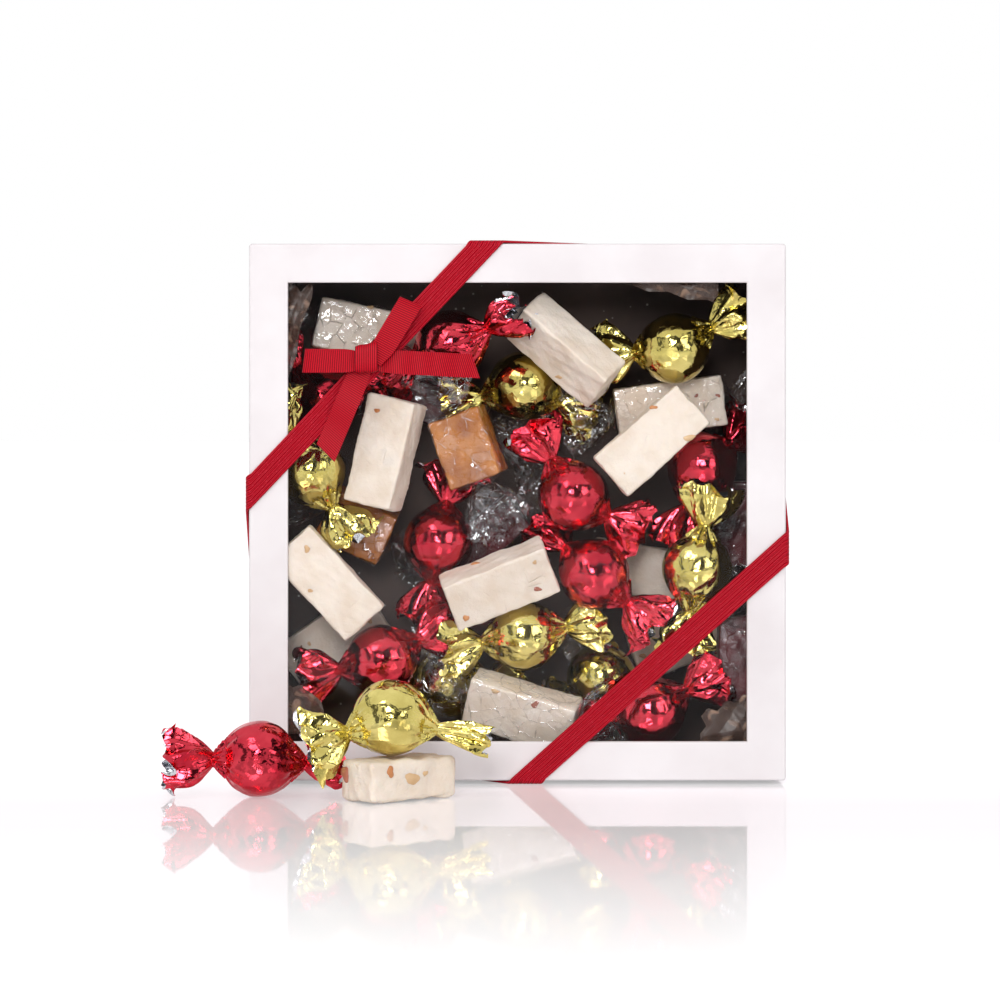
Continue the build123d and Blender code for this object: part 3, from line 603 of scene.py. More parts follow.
# Hard-boiled dark toffee, cast: nearly black maroon with a clean gloss.
TOFFEE = Confection("dark_toffee", "6E2A30", "3A1418", 0.5, 0.28, 0.15, 0.05)
# Moulded dark chocolate: deep brown and satin. It shows only where a wrapper stands open.
CHOCOLATE = Confection("dark_chocolate", "4A2A1C", "331B12", 0.5, 0.4, 0.15, 0.0)
# Glazed tissue, crumpled: brown and half clear, with a painted highlight as a pale line along each
# crease.
GLASSINE = Glassine("brown_glassine", "A2836E", "4A362D")


def points_of(node: str) -> np.ndarray:
    """Read the corners of a mesh.

    Args:
        node: The name of a node or a piece.

    Returns:
        Its corners in metres, one row each.
    """
    mesh = bpy.data.objects[node].data
    flat = np.empty(len(mesh.vertices) * 3)
    mesh.vertices.foreach_get("co", flat)
    return flat.reshape(-1, 3)


def box_of(node: str) -> tuple[np.ndarray, np.ndarray]:
    """Read the box of a node at rest.

    Args:
        node: The node's name.

    Returns:
        Its lowest and its highest corner in metres.
    """
    low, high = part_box(node)
    return np.array(low), np.array(high)


def islands_of(node: str) -> list[np.ndarray]:
    """Read the corners of each separate shell of a node.

    Args:
        node: The node's name; its mesh is copied, so it stays as it is.

    Returns:
        One array of corners for each shell.
    """
    work = bmesh.new()
    work.from_mesh(bpy.data.objects[node].data)
    bmesh.ops.remove_doubles(work, verts=work.verts, dist=0.001 * MM)
    seen: set[bmesh.types.BMVert] = set()
    shells = []
    for start in work.verts:
        if start in seen:
            continue
        seen.add(start)
        stack, shell = [start], []
        while stack:
            corner = stack.pop()
            shell.append(tuple(corner.co))
            for edge in corner.link_edges:
                other = edge.other_vert(corner)
                if other not in seen:
                    seen.add(other)
                    stack.append(other)
        shells.append(np.array(shell))
    work.free()
    return shells


def unit(vector: np.ndarray) -> np.ndarray:
    """Scale a vector to a length of 1.

    Args:
        vector: A vector that isn't zero.

    Returns:
        Its direction.
    """
    return vector / np.linalg.norm(vector)


def unit_rows(rows: np.ndarray) -> np.ndarray:
    """Scale each row to a length of 1.

    Args:
        rows: One vector in each row.

    Returns:
        Their directions; a row of zeros stays as it is.
    """
    return rows / np.maximum(np.linalg.norm(rows, axis=1), TINY)[:, None]


def triangle_wave(values: np.ndarray) -> np.ndarray:
    """Fold numbers to and fro like the flanks of a pleat.

    Args:
        values: Any numbers; each whole unit is one rise and one fall.

    Returns:
        Heights from -1 to 1 with straight flanks between.
    """
    return 4 * np.abs(values - np.floor(values + 0.5)) - 1


def squared(wave: np.ndarray, power: float | np.ndarray) -> np.ndarray:
    """Raise a wave to a power and keep its sign, which makes a circle squarer or a slope sharper.

    Args:
        wave: Values from -1 to 1.
        power: Below 1 the wave fills out towards its peaks, above 1 it draws in from them.

    Returns:
        The changed values, still from -1 to 1.
    """
    return np.sign(wave) * np.abs(wave) ** power


def crumple(points: np.ndarray, pitch: float, seed: int, folds: int = 5) -> np.ndarray:
    """Work out the height of crumpled foil or paper: folds that cross each other at random.

    Args:
        points: Places in metres.
        pitch: The mean distance between two folds, in metres.
        seed: Which crumpling it is.
        folds: How many sets of folds cross.

    Returns:
        Heights between about -1 and 1.
    """
    draw = random.Random(seed)
    bend_share, bend_stretch, fade, tallest = 0.35, 1.4, 0.3, 2.6
    height = np.zeros(len(points))
    for step in range(folds):
        normal = unit(np.array([draw.gauss(0, 1) for _ in range(3)]))
        bend = unit(np.array([draw.gauss(0, 1) for _ in range(3)]))
        wave = pitch * draw.uniform(0.7, 1.6) * 2
        drift = bend_share * np.sin(points @ bend / (wave * bend_stretch) * 2 + draw.uniform(0, 6))
        height += triangle_wave(points @ normal / wave + drift + draw.random()) / (1 + fade * step)
    return height / tallest


def pick(*pieces: bpy.types.Object) -> None:
    """Leave edit mode and select these pieces alone, the first as the active one.

    Args:
        *pieces: The pieces to select; without any, nothing stays selected.
    """
    if bpy.context.object and bpy.context.object.mode != "OBJECT":
        bpy.ops.object.mode_set(mode="OBJECT")
    bpy.ops.object.select_all(action="DESELECT")
    for piece in pieces:
        piece.select_set(True)
    if pieces:
        bpy.context.view_layer.objects.active = pieces[0]


def name_newest(name: str) -> bpy.types.Object:
    """Name the primitive that was just added.

    Args:
        name: The name for the piece and its mesh.

    Returns:
        The piece.
    """
    piece = bpy.context.object
    piece.name = piece.data.name = name
    return piece


def set_corners(piece: bpy.types.Object, points: np.ndarray) -> None:
    """Move every corner of a piece's mesh to its place.

    Args:
        piece: The piece.
        points: The new places, one row for each corner.
    """
    flat = np.ascontiguousarray(points, dtype=np.float64).ravel()
    piece.data.vertices.foreach_set("co", flat)
    piece.data.update()


def edit_whole(*steps: Callable[[], object]) -> None:
    """Run operators in edit mode on all of the active piece.

    Args:
        *steps: The operators, in their order.
    """
    bpy.ops.object.mode_set(mode="EDIT")
    bpy.ops.mesh.select_all(action="SELECT")
    for step in steps:
        step()
    bpy.ops.object.mode_set(mode="OBJECT")


def laid_sheet(
    name: str, cells: tuple[int, int], course: Course, width: float, closed: bool = False
) -> bpy.types.Object:
    """Lay a grid of cells over a curved course.

    Args:
        name: The piece's name.
        cells: How many cells lie along the sheet and across it.
        course: Gives the places for shares of the sheet's length and width.
        width: The sheet's real width in metres, for its own map; its length there is measured.
        closed: Whether edges of the sheet meet and are welded.

    Returns:
        The new piece.
    """
    pick()
    bpy.ops.mesh.primitive_grid_add(
        x_subdivisions=cells[0], y_subdivisions=cells[1], size=1, calc_uvs=True)
    sheet = name_newest(name)
    start = points_of(name)
    layer = sheet.data.uv_layers[0]
    layer.name = "UVMap"
    spread = np.empty(len(layer.data) * 2)
    layer.data.foreach_get("uv", spread)
    shares = np.linspace(0, 1, 65)
    rows = course(shares, np.full(len(shares), 0.5))
    gone = np.concatenate([[0.0], np.cumsum(np.linalg.norm(np.diff(rows, axis=0), axis=1))])
    spread = spread.reshape(-1, 2)
    spread[:, 0] = np.interp(spread[:, 0], shares, gone)
    spread[:, 1] *= width
    layer.data.foreach_set("uv", spread.ravel())
    set_corners(sheet, course(start[:, 0] + 0.5, start[:, 1] + 0.5))
    if closed:
        edit_whole(
            lambda: bpy.ops.mesh.remove_doubles(threshold=0.002 * MM),
            lambda: bpy.ops.mesh.normals_make_consistent(inside=False))
    return sheet


def turn_outwards(tube: bpy.types.Object, foot: np.ndarray, axis: np.ndarray) -> None:
    """Turn a tube's faces away from its axis, where most of them point towards it.

    Args:
        tube: The tube, which is the active piece.
        foot: A point on its axis.
        axis: The axis's direction.
    """
    faces = tube.data.polygons
    middles, normals = np.empty(len(faces) * 3), np.empty(len(faces) * 3)
    faces.foreach_get("center", middles)
    faces.foreach_get("normal", normals)
    away = middles.reshape(-1, 3) - foot
    away -= np.outer(away @ axis, axis)
    if (away * normals.reshape(-1, 3)).sum() < 0:
        edit_whole(bpy.ops.mesh.flip_normals)


def apply_modifier(piece: bpy.types.Object, kind: str, **settings: object) -> None:
    """Add one modifier and apply it.

    Args:
        piece: The piece that it shapes.
        kind: The modifier's type.
        **settings: The modifier's own settings.
    """
    pick(piece)
    modifier = piece.modifiers.new(kind.title(), kind)
    for key, value in settings.items():
        setattr(modifier, key, value)
    bpy.ops.object.modifier_apply(modifier=modifier.name)


def joined(name: str, pieces: list[bpy.types.Object]) -> bpy.types.Object:
    """Join pieces into the first one.

    Args:
        name: The name of the whole.
        pieces: The pieces, of which the first one stays.

    Returns:
        The whole.
    """
    pick(*pieces)
    if len(pieces) > 1:
        bpy.ops.object.join()
    return name_newest(name)


def smooth(piece: bpy.types.Object, degrees: float) -> None:
    """Shade a piece smooth.

    Args:
        piece: The piece.
        degrees: The angle between two faces past which their edge stays sharp.
    """
    pick(piece)
    if degrees >= 180:
        bpy.ops.object.shade_smooth()
    else:
        bpy.ops.object.shade_smooth_by_angle(angle=math.radians(degrees))


def settle(piece: bpy.types.Object, body: str, node: str) -> None:
    """Let a piece ride on its body and stand for its node, and report it.

    Args:
        piece: The piece.
        body: The body that carries it.
        node: The node that it replaces.
    """
    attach(piece, body)
    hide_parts(node)
    LOG.info("%s: %d faces, rides on %s", piece.name, len(piece.data.polygons), body)


@dataclass
class Box:
    """The lid, the tray and the film behind the window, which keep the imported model's shapes."""

    finishes: dict[str, Finish] = field(default_factory=lambda: {
        "lid_wrap": WHITE_PAPER, "base_wrap": WHITE_PAPER,
        "lid_board": GREYBOARD, "base_board": GREYBOARD,
        "base_liner": BLACK_PAPER, "window_film": WINDOW_FILM, "chocolate_centres": CHOCOLATE,
        "loose_red_centre": CHOCOLATE, "loose_gold_centre": CHOCOLATE,
    })

    def dress(self) -> None:
        """Give each node its own finish."""
        for node, finish in self.finishes.items():
            materials = bpy.data.objects[node].data.materials
            materials.clear()
            materials.append(finish.material())
            LOG.info("%s: %s", node, finish.name)


@dataclass
class Elastic:
    """One flat ribbed elastic over two corners of the lid and the other two of the back.

    Left, top, right and foot say where it crosses the front and the back edge of each side, from
    that side's middle.
    """

    width: float = 9.5 * MM
    thick: float = 1.1 * MM
    ease: float = 0.2 * MM
    edge_round: float = 0.8 * MM
    tray_half: float = 97.45 * MM
    ribs: int = 9
    rib_drop_share: float = 0.30
    step: float = 5 * MM
    left: tuple[float, float] = (8.0 * MM, -49.0 * MM)
    top: tuple[float, float] = (-12.8 * MM, 44.0 * MM)
    right: tuple[float, float] = (-14.3 * MM, 40.0 * MM)
    foot: tuple[float, float] = (4.0 * MM, -53.0 * MM)

    def profile(self) -> list[tuple[np.ndarray, np.ndarray]]:
        """Work out the band's path over one side: round the lid's edge, its rim and the back's.

        Returns:
            For each place on it, the inner and the outer point, as depth and distance.
        """
        low, high = box_of("lid_wrap")
        half, skirt = (high[2] - low[2]) / 2, high[1] - low[1]
        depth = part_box("base_wrap")[1][1] - low[1]
        radius = self.edge_round + self.ease
        front = np.array([self.edge_round, half - self.edge_round])
        back = np.array([depth - self.edge_round, self.tray_half - self.edge_round])
        rim = np.array([skirt, half + self.ease])
        reach = np.linalg.norm(back - rim)
        slope = math.atan2(*(back - rim)[::-1]) + math.asin(radius / reach)
        arcs = []
        for middle, first, last in ((front, -math.pi / 2, 0.0), (back, -slope, math.pi / 2)):
            turns = np.linspace(first, last, 7)
            rays = [np.array([math.sin(angle), math.cos(angle)]) for angle in turns]
            arcs.append(
                [(middle + ray * radius, middle + ray * (radius + self.thick)) for ray in rays])
        bent = (rim, rim + self.thick * np.array([math.tan(-slope / 2), 1]))
        return arcs[0] + [bent] + arcs[1]

    def side(
        self, out: np.ndarray, along: np.ndarray, crossings: tuple[float, float], border: int
    ) -> list[np.ndarray]:
        """Lay the band over one side of the box.

        Args:
            out: The direction in which the side faces.
            along: The direction in which its crossings are measured.
            crossings: Where the band crosses the side's front and back edge.
            border: Which border of the band comes first, 1 or -1.

        Returns:
            The fold lines from the front, as four corners each.
        """
        low, high = box_of("lid_wrap")
        middle = np.array([(low[0] + high[0]) / 2, low[1], (low[2] + high[2]) / 2])
        places = self.profile()
        steps = [np.linalg.norm(b[0] - a[0]) for a, b in zip(places, places[1:])]
        travel = np.concatenate([[0.0], np.cumsum(steps)])
        shift = crossings[1] - crossings[0]
        half = border * self.width / 2 * math.hypot(travel[-1], shift) / travel[-1]
        folds = []
        for surfaces, gone in zip(places, travel):
            centre = crossings[0] + shift * gone / travel[-1]
            folds.append(np.array([
                middle + np.array([0, depth, 0]) + out * distance + along * (centre + end * half)
                for depth, distance in surfaces for end in (1, -1)]))
        return folds

    def folds(self) -> np.ndarray:
        """Lay the closed band round the whole box.

        Returns:
            Its fold lines, with more of them along its straight runs.
        """
        right, up = np.array([1.0, 0, 0]), np.array([0, 0, 1.0])
        turns = self.side(-right, up, self.left, 1)[::-1] + self.side(up, right, self.top, -1)
        turns += self.side(right, up, self.right, -1)[::-1] + self.side(-up, right, self.foot, 1)
        lines = []
        for first, last in zip(turns, turns[1:] + turns[:1]):
            count = max(1, round(np.linalg.norm(last.mean(0) - first.mean(0)) / self.step))
            lines += [first + (last - first) * share for share in np.arange(count) / count]
        return np.array(lines + lines[:1])

    def section(self) -> np.ndarray:
        """Draw the band's outline: ribs outside, a plain face inside.

        Returns:
            Its points as shares of the band's width and thickness.
        """
        rib_points, roundness = 8, 0.55
        across = np.linspace(0, 1, self.ribs * rib_points + 1)
        groove = np.abs(np.sin(across * self.ribs * math.pi)) ** roundness
        outer = np.stack([across, 1 - self.rib_drop_share * (1 - groove)], 1)
        edge = np.array([[1.0, 0.7], [1.0, 0.3]])
        inner = np.stack([np.linspace(0.99, 0.01, 9), np.zeros(9)], 1)
        return np.concatenate([outer, edge, inner, edge[::-1] * [0, 1], outer[:1]])

    def make(self) -> None:
        """Lay the ribbed outline along the fold lines."""
        lines, outline = self.folds(), self.section()

        def course(along: np.ndarray, around: np.ndarray) -> np.ndarray:
            """Find places on the band's surface.

            Args:
                along: Shares of the band's length.
                around: Shares of its outline.

            Returns:
                The places in metres.
            """
            line = lines[np.rint(along * (len(lines) - 1)).astype(int)]
            share = outline[np.rint(around * (len(outline) - 1)).astype(int)]
            across, rise = share[:, :1], share[:, 1:]
            inner = line[:, 0] * (1 - across) + line[:, 1] * across
            outer = line[:, 2] * (1 - across) + line[:, 3] * across
            return inner + (outer - inner) * rise

        cells = (len(lines) - 1, len(outline) - 1)
        band = laid_sheet("elastic_band", cells, course, self.width * 2, True)
        band.data.materials.append(ELASTIC_TAPE.material())
        smooth(band, 60)
        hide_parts("elastic_loop")
        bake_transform(band)
        LOG.info("elastic_band: %d faces, from the tray to the lid", len(band.data.polygons))


@dataclass
class Bow:
    """The ribbon bow on the elastic: a wound knot, two flattened loops and two tails.

    Each loop has its length, its angle in degrees, how far aside it starts and its turn. Each
    tail has its length, angle, distance aside, slant and number of half waves.
    """

    width: float = 8.8 * MM
    thick: float = 0.42 * MM
    half_gap: float = 2.3 * MM
    wave: float = 0.85 * MM
    behind: float = 1.75 * MM
    cells: tuple[int, int] = (96, 16)
    left_loop: tuple[float, ...] = (23.5 * MM, 180, -1.4 * MM, 1.2 * MM)
    upper_loop: tuple[float, ...] = (26.5 * MM, 59, 3.6 * MM, -1.0 * MM)
    right_tail: tuple[float, ...] = (42.5 * MM, -3, 1.3 * MM, 3.6 * MM, 5.5)
    lower_tail: tuple[float, ...] = (37.0 * MM, -113, 0.0, -3.6 * MM, 3.0)

    def middle(self) -> np.ndarray:
        """Return the knot's middle."""
        low, high = box_of("bow_knot")
        return (low + high) / 2

    def place(
        self, angle: float, aside: float, out: np.ndarray, depth: np.ndarray, side: np.ndarray
    ) -> np.ndarray:
        """Turn distances on a ribbon to places.

        Args:
            angle: The ribbon's direction in degrees, from the right towards the top.
            aside: How far it leaves the knot beside the knot's middle.
            out: Distances along the ribbon.
            depth: Distances towards the back.
            side: Distances across the ribbon.

        Returns:
            The places in metres.
        """
        turn = math.radians(angle)
        along = np.array([math.cos(turn), 0, math.sin(turn)])
        across = np.array([-math.sin(turn), 0, math.cos(turn)])
        start = self.middle() - across * aside
        return start + np.outer(out, along) + np.outer(depth, [0, 1, 0]) + np.outer(side, across)

    def lay(self, node: str, course: Course) -> None:
        """Lay a ribbon, thicken and dye it, and put it on the lid.

        Args:
            node: The node that it stands for.
            course: Gives its places.
        """
        ribbon = laid_sheet(f"{node}_ribbon", self.cells, course, self.width)
        apply_modifier(ribbon, "SOLIDIFY", thickness=self.thick, offset=0.0)
        ribbon.data.materials.append(GROSGRAIN.material())
        smooth(ribbon, 50)
        settle(ribbon, "lid", node)

    def loop(self, node: str, length: float, angle: float, aside: float, turn: float) -> None:
        """Make one loop: the ribbon goes out, turns at the end and comes back behind.

        Args:
            node: The node that it stands for.
            length: How far it reaches from the knot's middle.
            angle: Its direction in degrees.
            aside: How far beside the middle it leaves the knot.
            turn: How far one border leans back at the loop's end.
        """
        splay, pinch_share, pinch_reach = 0.05, 0.35, 4.5 * MM

        def course(share: np.ndarray, across: np.ndarray) -> np.ndarray:
            """Find places on the loop.

            Args:
                share: Shares of the ribbon's length.
                across: Shares of its width.

            Returns:
                The places in metres.
            """
            side = across - 0.5
            out = (length - self.thick) * np.sin(math.pi * share)
            out = out * (1 + splay * side * np.sign(turn))
            depth = -self.half_gap * np.sin(FULL_TURN * share)
            lean = turn * side * out / length
            pinch = 1 - pinch_share * np.exp(-((out / pinch_reach) ** 2))
            return self.place(angle, aside, out, depth + lean, side * self.width * pinch)

        self.lay(node, course)

    def tail(
        self, node: str, length: float, angle: float, aside: float, slant: float, waves: float
    ) -> None:
        """Make one tail: it leaves the knot behind, waves and ends in a slanting cut.

        Args:
            node: The node that it stands for.
            length: Its length along its longer border.
            angle: Its direction in degrees.
            aside: How far beside the middle it leaves the knot.
            slant: How much shorter its other border is.
            waves: How many half waves it makes.
        """
        twist_rise, pinch_share, reach = 0.35 * MM, 0.3, 6 * MM

        def course(share: np.ndarray, across: np.ndarray) -> np.ndarray:
            """Find places on the tail.

            Args:
                share: Shares of the ribbon's length.
                across: Shares of its width.

            Returns:
                The places in metres.
            """
            side = across - 0.5
            out = share * (length - slant * across)
            rise = self.wave * np.sin(waves * math.pi * out / length) * np.minimum(1, out / reach)
            twist = twist_rise * np.sin(5 * out / length + 1) * side * 2
            pinch = 1 - pinch_share * np.exp(-((out / reach) ** 2))
            depth = self.behind + rise + twist
            return self.place(angle, aside, out, depth, side * self.width * pinch)

        self.lay(node, course)

    def knot(self) -> None:
        """Make the wound middle: a ribbon drawn tight round the bow, higher on its right."""
        low, high = box_of("bow_knot")
        half = (high - low) / 2
        lip_start, roundness = 0.86, 0.62

        def course(across: np.ndarray, around: np.ndarray) -> np.ndarray:
            """Find places on the knot.

            Args:
                across: Shares of the ribbon's width, from the knot's left.
                around: Shares of the way round it.

            Returns:
                The places in metres.
            """
            angle = FULL_TURN * around
            side = 2 * across - 1
            lip = np.clip((np.abs(side) - lip_start) / (1 - lip_start), 0, 1)
            gather = 1 - 0.03 * (1 + np.cos(side * 2.2 * math.pi)) * (1 - lip)
            size = gather * (1 - lip ** 2)
            depth = squared(np.cos(angle), roundness) * half[1] * size
            rise = squared(np.sin(angle), roundness) * half[2] * size
            rise = np.where(rise > 0, rise * (0.66 + 0.34 * across), rise * (1 - 0.06 * across))
            reach = np.sign(side) * np.minimum(np.abs(side) / 0.88, 1) * half[0] * (1 - 0.10 * lip)
            return self.middle() + np.stack([reach, depth, rise], 1)

        ribbon = laid_sheet("bow_knot_ribbon", (60, 96), course, self.width, True)
        ribbon.data.materials.append(GROSGRAIN.material())
        smooth(ribbon, 60)
        settle(ribbon, "lid", "bow_knot")

    def make(self) -> None:
        """Make the whole bow."""
        self.knot()
        self.loop("bow_left_loop", *self.left_loop)
        self.loop("bow_upper_loop", *self.upper_loop)
        self.tail("bow_right_tail", *self.right_tail)
        self.tail("bow_lower_tail", *self.lower_tail)


@dataclass
class Surroundings:
    """The sweets and walls round a wrapper's loose ends, which the ends are pressed clear of."""

    balls: list[tuple[np.ndarray, float]]
    bars: list[tuple[np.ndarray, np.ndarray, np.ndarray]]
    low: np.ndarray
    high: np.ndarray
    ease: float = 0.25 * MM
    rounds: int = 3

    def press(self, points: np.ndarray, own: np.ndarray) -> np.ndarray:
        """Push points out of every other sweet and back inside the walls.

        Args:
            points: The points of the loose end.
            own: The middle of the sweet that the end belongs to.

        Returns:
            The points where they are free.
        """
        for _ in range(self.rounds):
            for middle, radius in self.balls:
                if np.linalg.norm(middle - own) < MM:
                    continue
                away = points - middle
                span = np.linalg.norm(away, axis=1)
                inside = span < radius + self.ease
                points[inside] += away[inside] * ((radius + self.ease) / span[inside] - 1)[:, None]
            for middle, axes, half in self.bars:
                if np.linalg.norm(middle - own) < MM:
                    continue
                local = (points - middle) @ axes.T
                room = half + self.ease
                inside = (np.abs(local) < room).all(axis=1)
                if not inside.any():
                    continue
                short = room - np.abs(local[inside])
                nearest = short.argmin(axis=1)
                rows = np.arange(len(nearest))
                moved = local[inside]
                way = np.where(moved[rows, nearest] < 0, -1, 1)
                moved[rows, nearest] = way * room[nearest]
                points[inside] = middle + moved @ axes
            points = np.clip(points, self.low, self.high)
        return points


@dataclass
class Twist:
    """The twisted end of a wrapper: a pinched neck that flares into a crumpled, open pouf."""

    neck: np.ndarray
    along: np.ndarray
    wide: np.ndarray
    near: np.ndarray
    length: float
    width: float
    depth: float
    seed: int
    neck_half: tuple[float, float] = (2.0 * MM, 1.3 * MM)
    folds: int = 6
    fine_folds: int = 13
    fold_share: float = 0.26
    fine_share: float = 0.10
    swell: float = 1.2
    curl: float = 5.2 * MM
    curl_start: float = 0.66
    rough_pitch: float = 4.6 * MM
    rough_depth: float = 0.85 * MM

    @classmethod
    def read(cls, points: np.ndarray, start: np.ndarray, along: np.ndarray, seed: int) -> Twist:
        """Read a twist's frame from the corners of its solid.

        Args:
            points: The corners of the solid beyond its neck.
            start: Where the neck leaves the sweet.
            along: The direction in which it leaves.
            seed: Which crumpling it gets.

        Returns:
            The twist.
        """
        offsets = points - start
        reach = offsets @ along
        flat = offsets - np.outer(reach, along)
        _, _, axes = np.linalg.svd(flat - flat.mean(0), full_matrices=False)
        wide = unit(axes[0] - along * (axes[0] @ along))
        near = np.cross(along, wide)
        width, depth = float(np.ptp(flat @ wide)), float(np.ptp(flat @ near))
        return cls(start, along, wide, near, float(reach.max()), width, depth, seed)

    def enlarge(self, least: tuple[float, float, float]) -> None:
        """Make the twist at least so long, wide and deep.

        Args:
            least: The least length, width and depth in metres.
        """
        self.length = max(self.length, least[0])
        self.width = max(self.width, least[1])
        self.depth = max(self.depth, least[2])

    def tube(
        self, name: str, room: Surroundings, own: np.ndarray, back: float = 1.5 * MM
    ) -> bpy.types.Object:
        """Make the twist as a pleated skirt whose corners curl back.

        Args:
            name: The piece's name.
            room: What lies round it.
            own: The middle of its own sweet.
            back: How far the neck reaches back into the sweet's gathers.

        Returns:
            The twist as a thin shell.
        """
        draw = random.Random(self.seed)
        phase = [draw.random() for _ in range(5)]

        def course(share: np.ndarray, around: np.ndarray) -> np.ndarray:
            """Find places on the skirt, clear of what lies round it.

            Args:
                share: Shares of the way from the neck to the hem.
                around: Shares of the way round the skirt.

            Returns:
                The places in metres.
            """
            angle = FULL_TURN * around
            corner = triangle_wave(4 * around + phase[0])
            flare = (1 - (1 - np.clip(share, 0, 1)) ** 2.6) * (1 - 0.12 * share ** 4)
            curled = np.clip((share - self.curl_start) / (1 - self.curl_start), 0, 1) ** 1.3
            curled = curled * np.clip(corner + 0.35 * (phase[1] - 0.2), 0, 1)
            out = share * self.length * (0.94 + 0.10 * corner) - curled * self.curl * 1.2
            bend = 0.35 * np.sin(2.5 * share + 6 * phase[3])
            pleat = triangle_wave(self.folds * around + phase[2] + bend)
            fine = triangle_wave(self.fine_folds * around + phase[4] + 0.6 * share)
            fold = 1 + flare * (self.fold_share * pleat + self.fine_share * fine)
            half_wide, half_deep = self.width / 2 / self.swell, self.depth / 2 / self.swell
            wide = self.neck_half[0] + (half_wide - self.neck_half[0]) * flare
            deep = self.neck_half[1] + (half_deep - self.neck_half[1]) * flare
            across = np.cos(angle) * (wide * fold + curled * self.curl)
            depth = np.sin(angle) * (deep * fold + curled * self.curl * 0.7)
            start = self.neck - self.along * back
            spots = (start + np.outer(out + back * share, self.along) + np.outer(across, self.wide)
                     + np.outer(depth, self.near))
            rough = crumple(spots, self.rough_pitch, self.seed, 4) * self.rough_depth
            rough = rough * np.clip(share * 3, 0, 1)
            spots += np.outer(rough * np.cos(angle), self.wide)
            spots += np.outer(rough * np.sin(angle), self.near)
            spots += np.outer(rough * 0.6, self.along)
            return room.press(spots, own)

        tube = laid_sheet(name, (30, 84), course, self.width * 2, True)
        turn_outwards(tube, self.neck, self.along)
        return tube


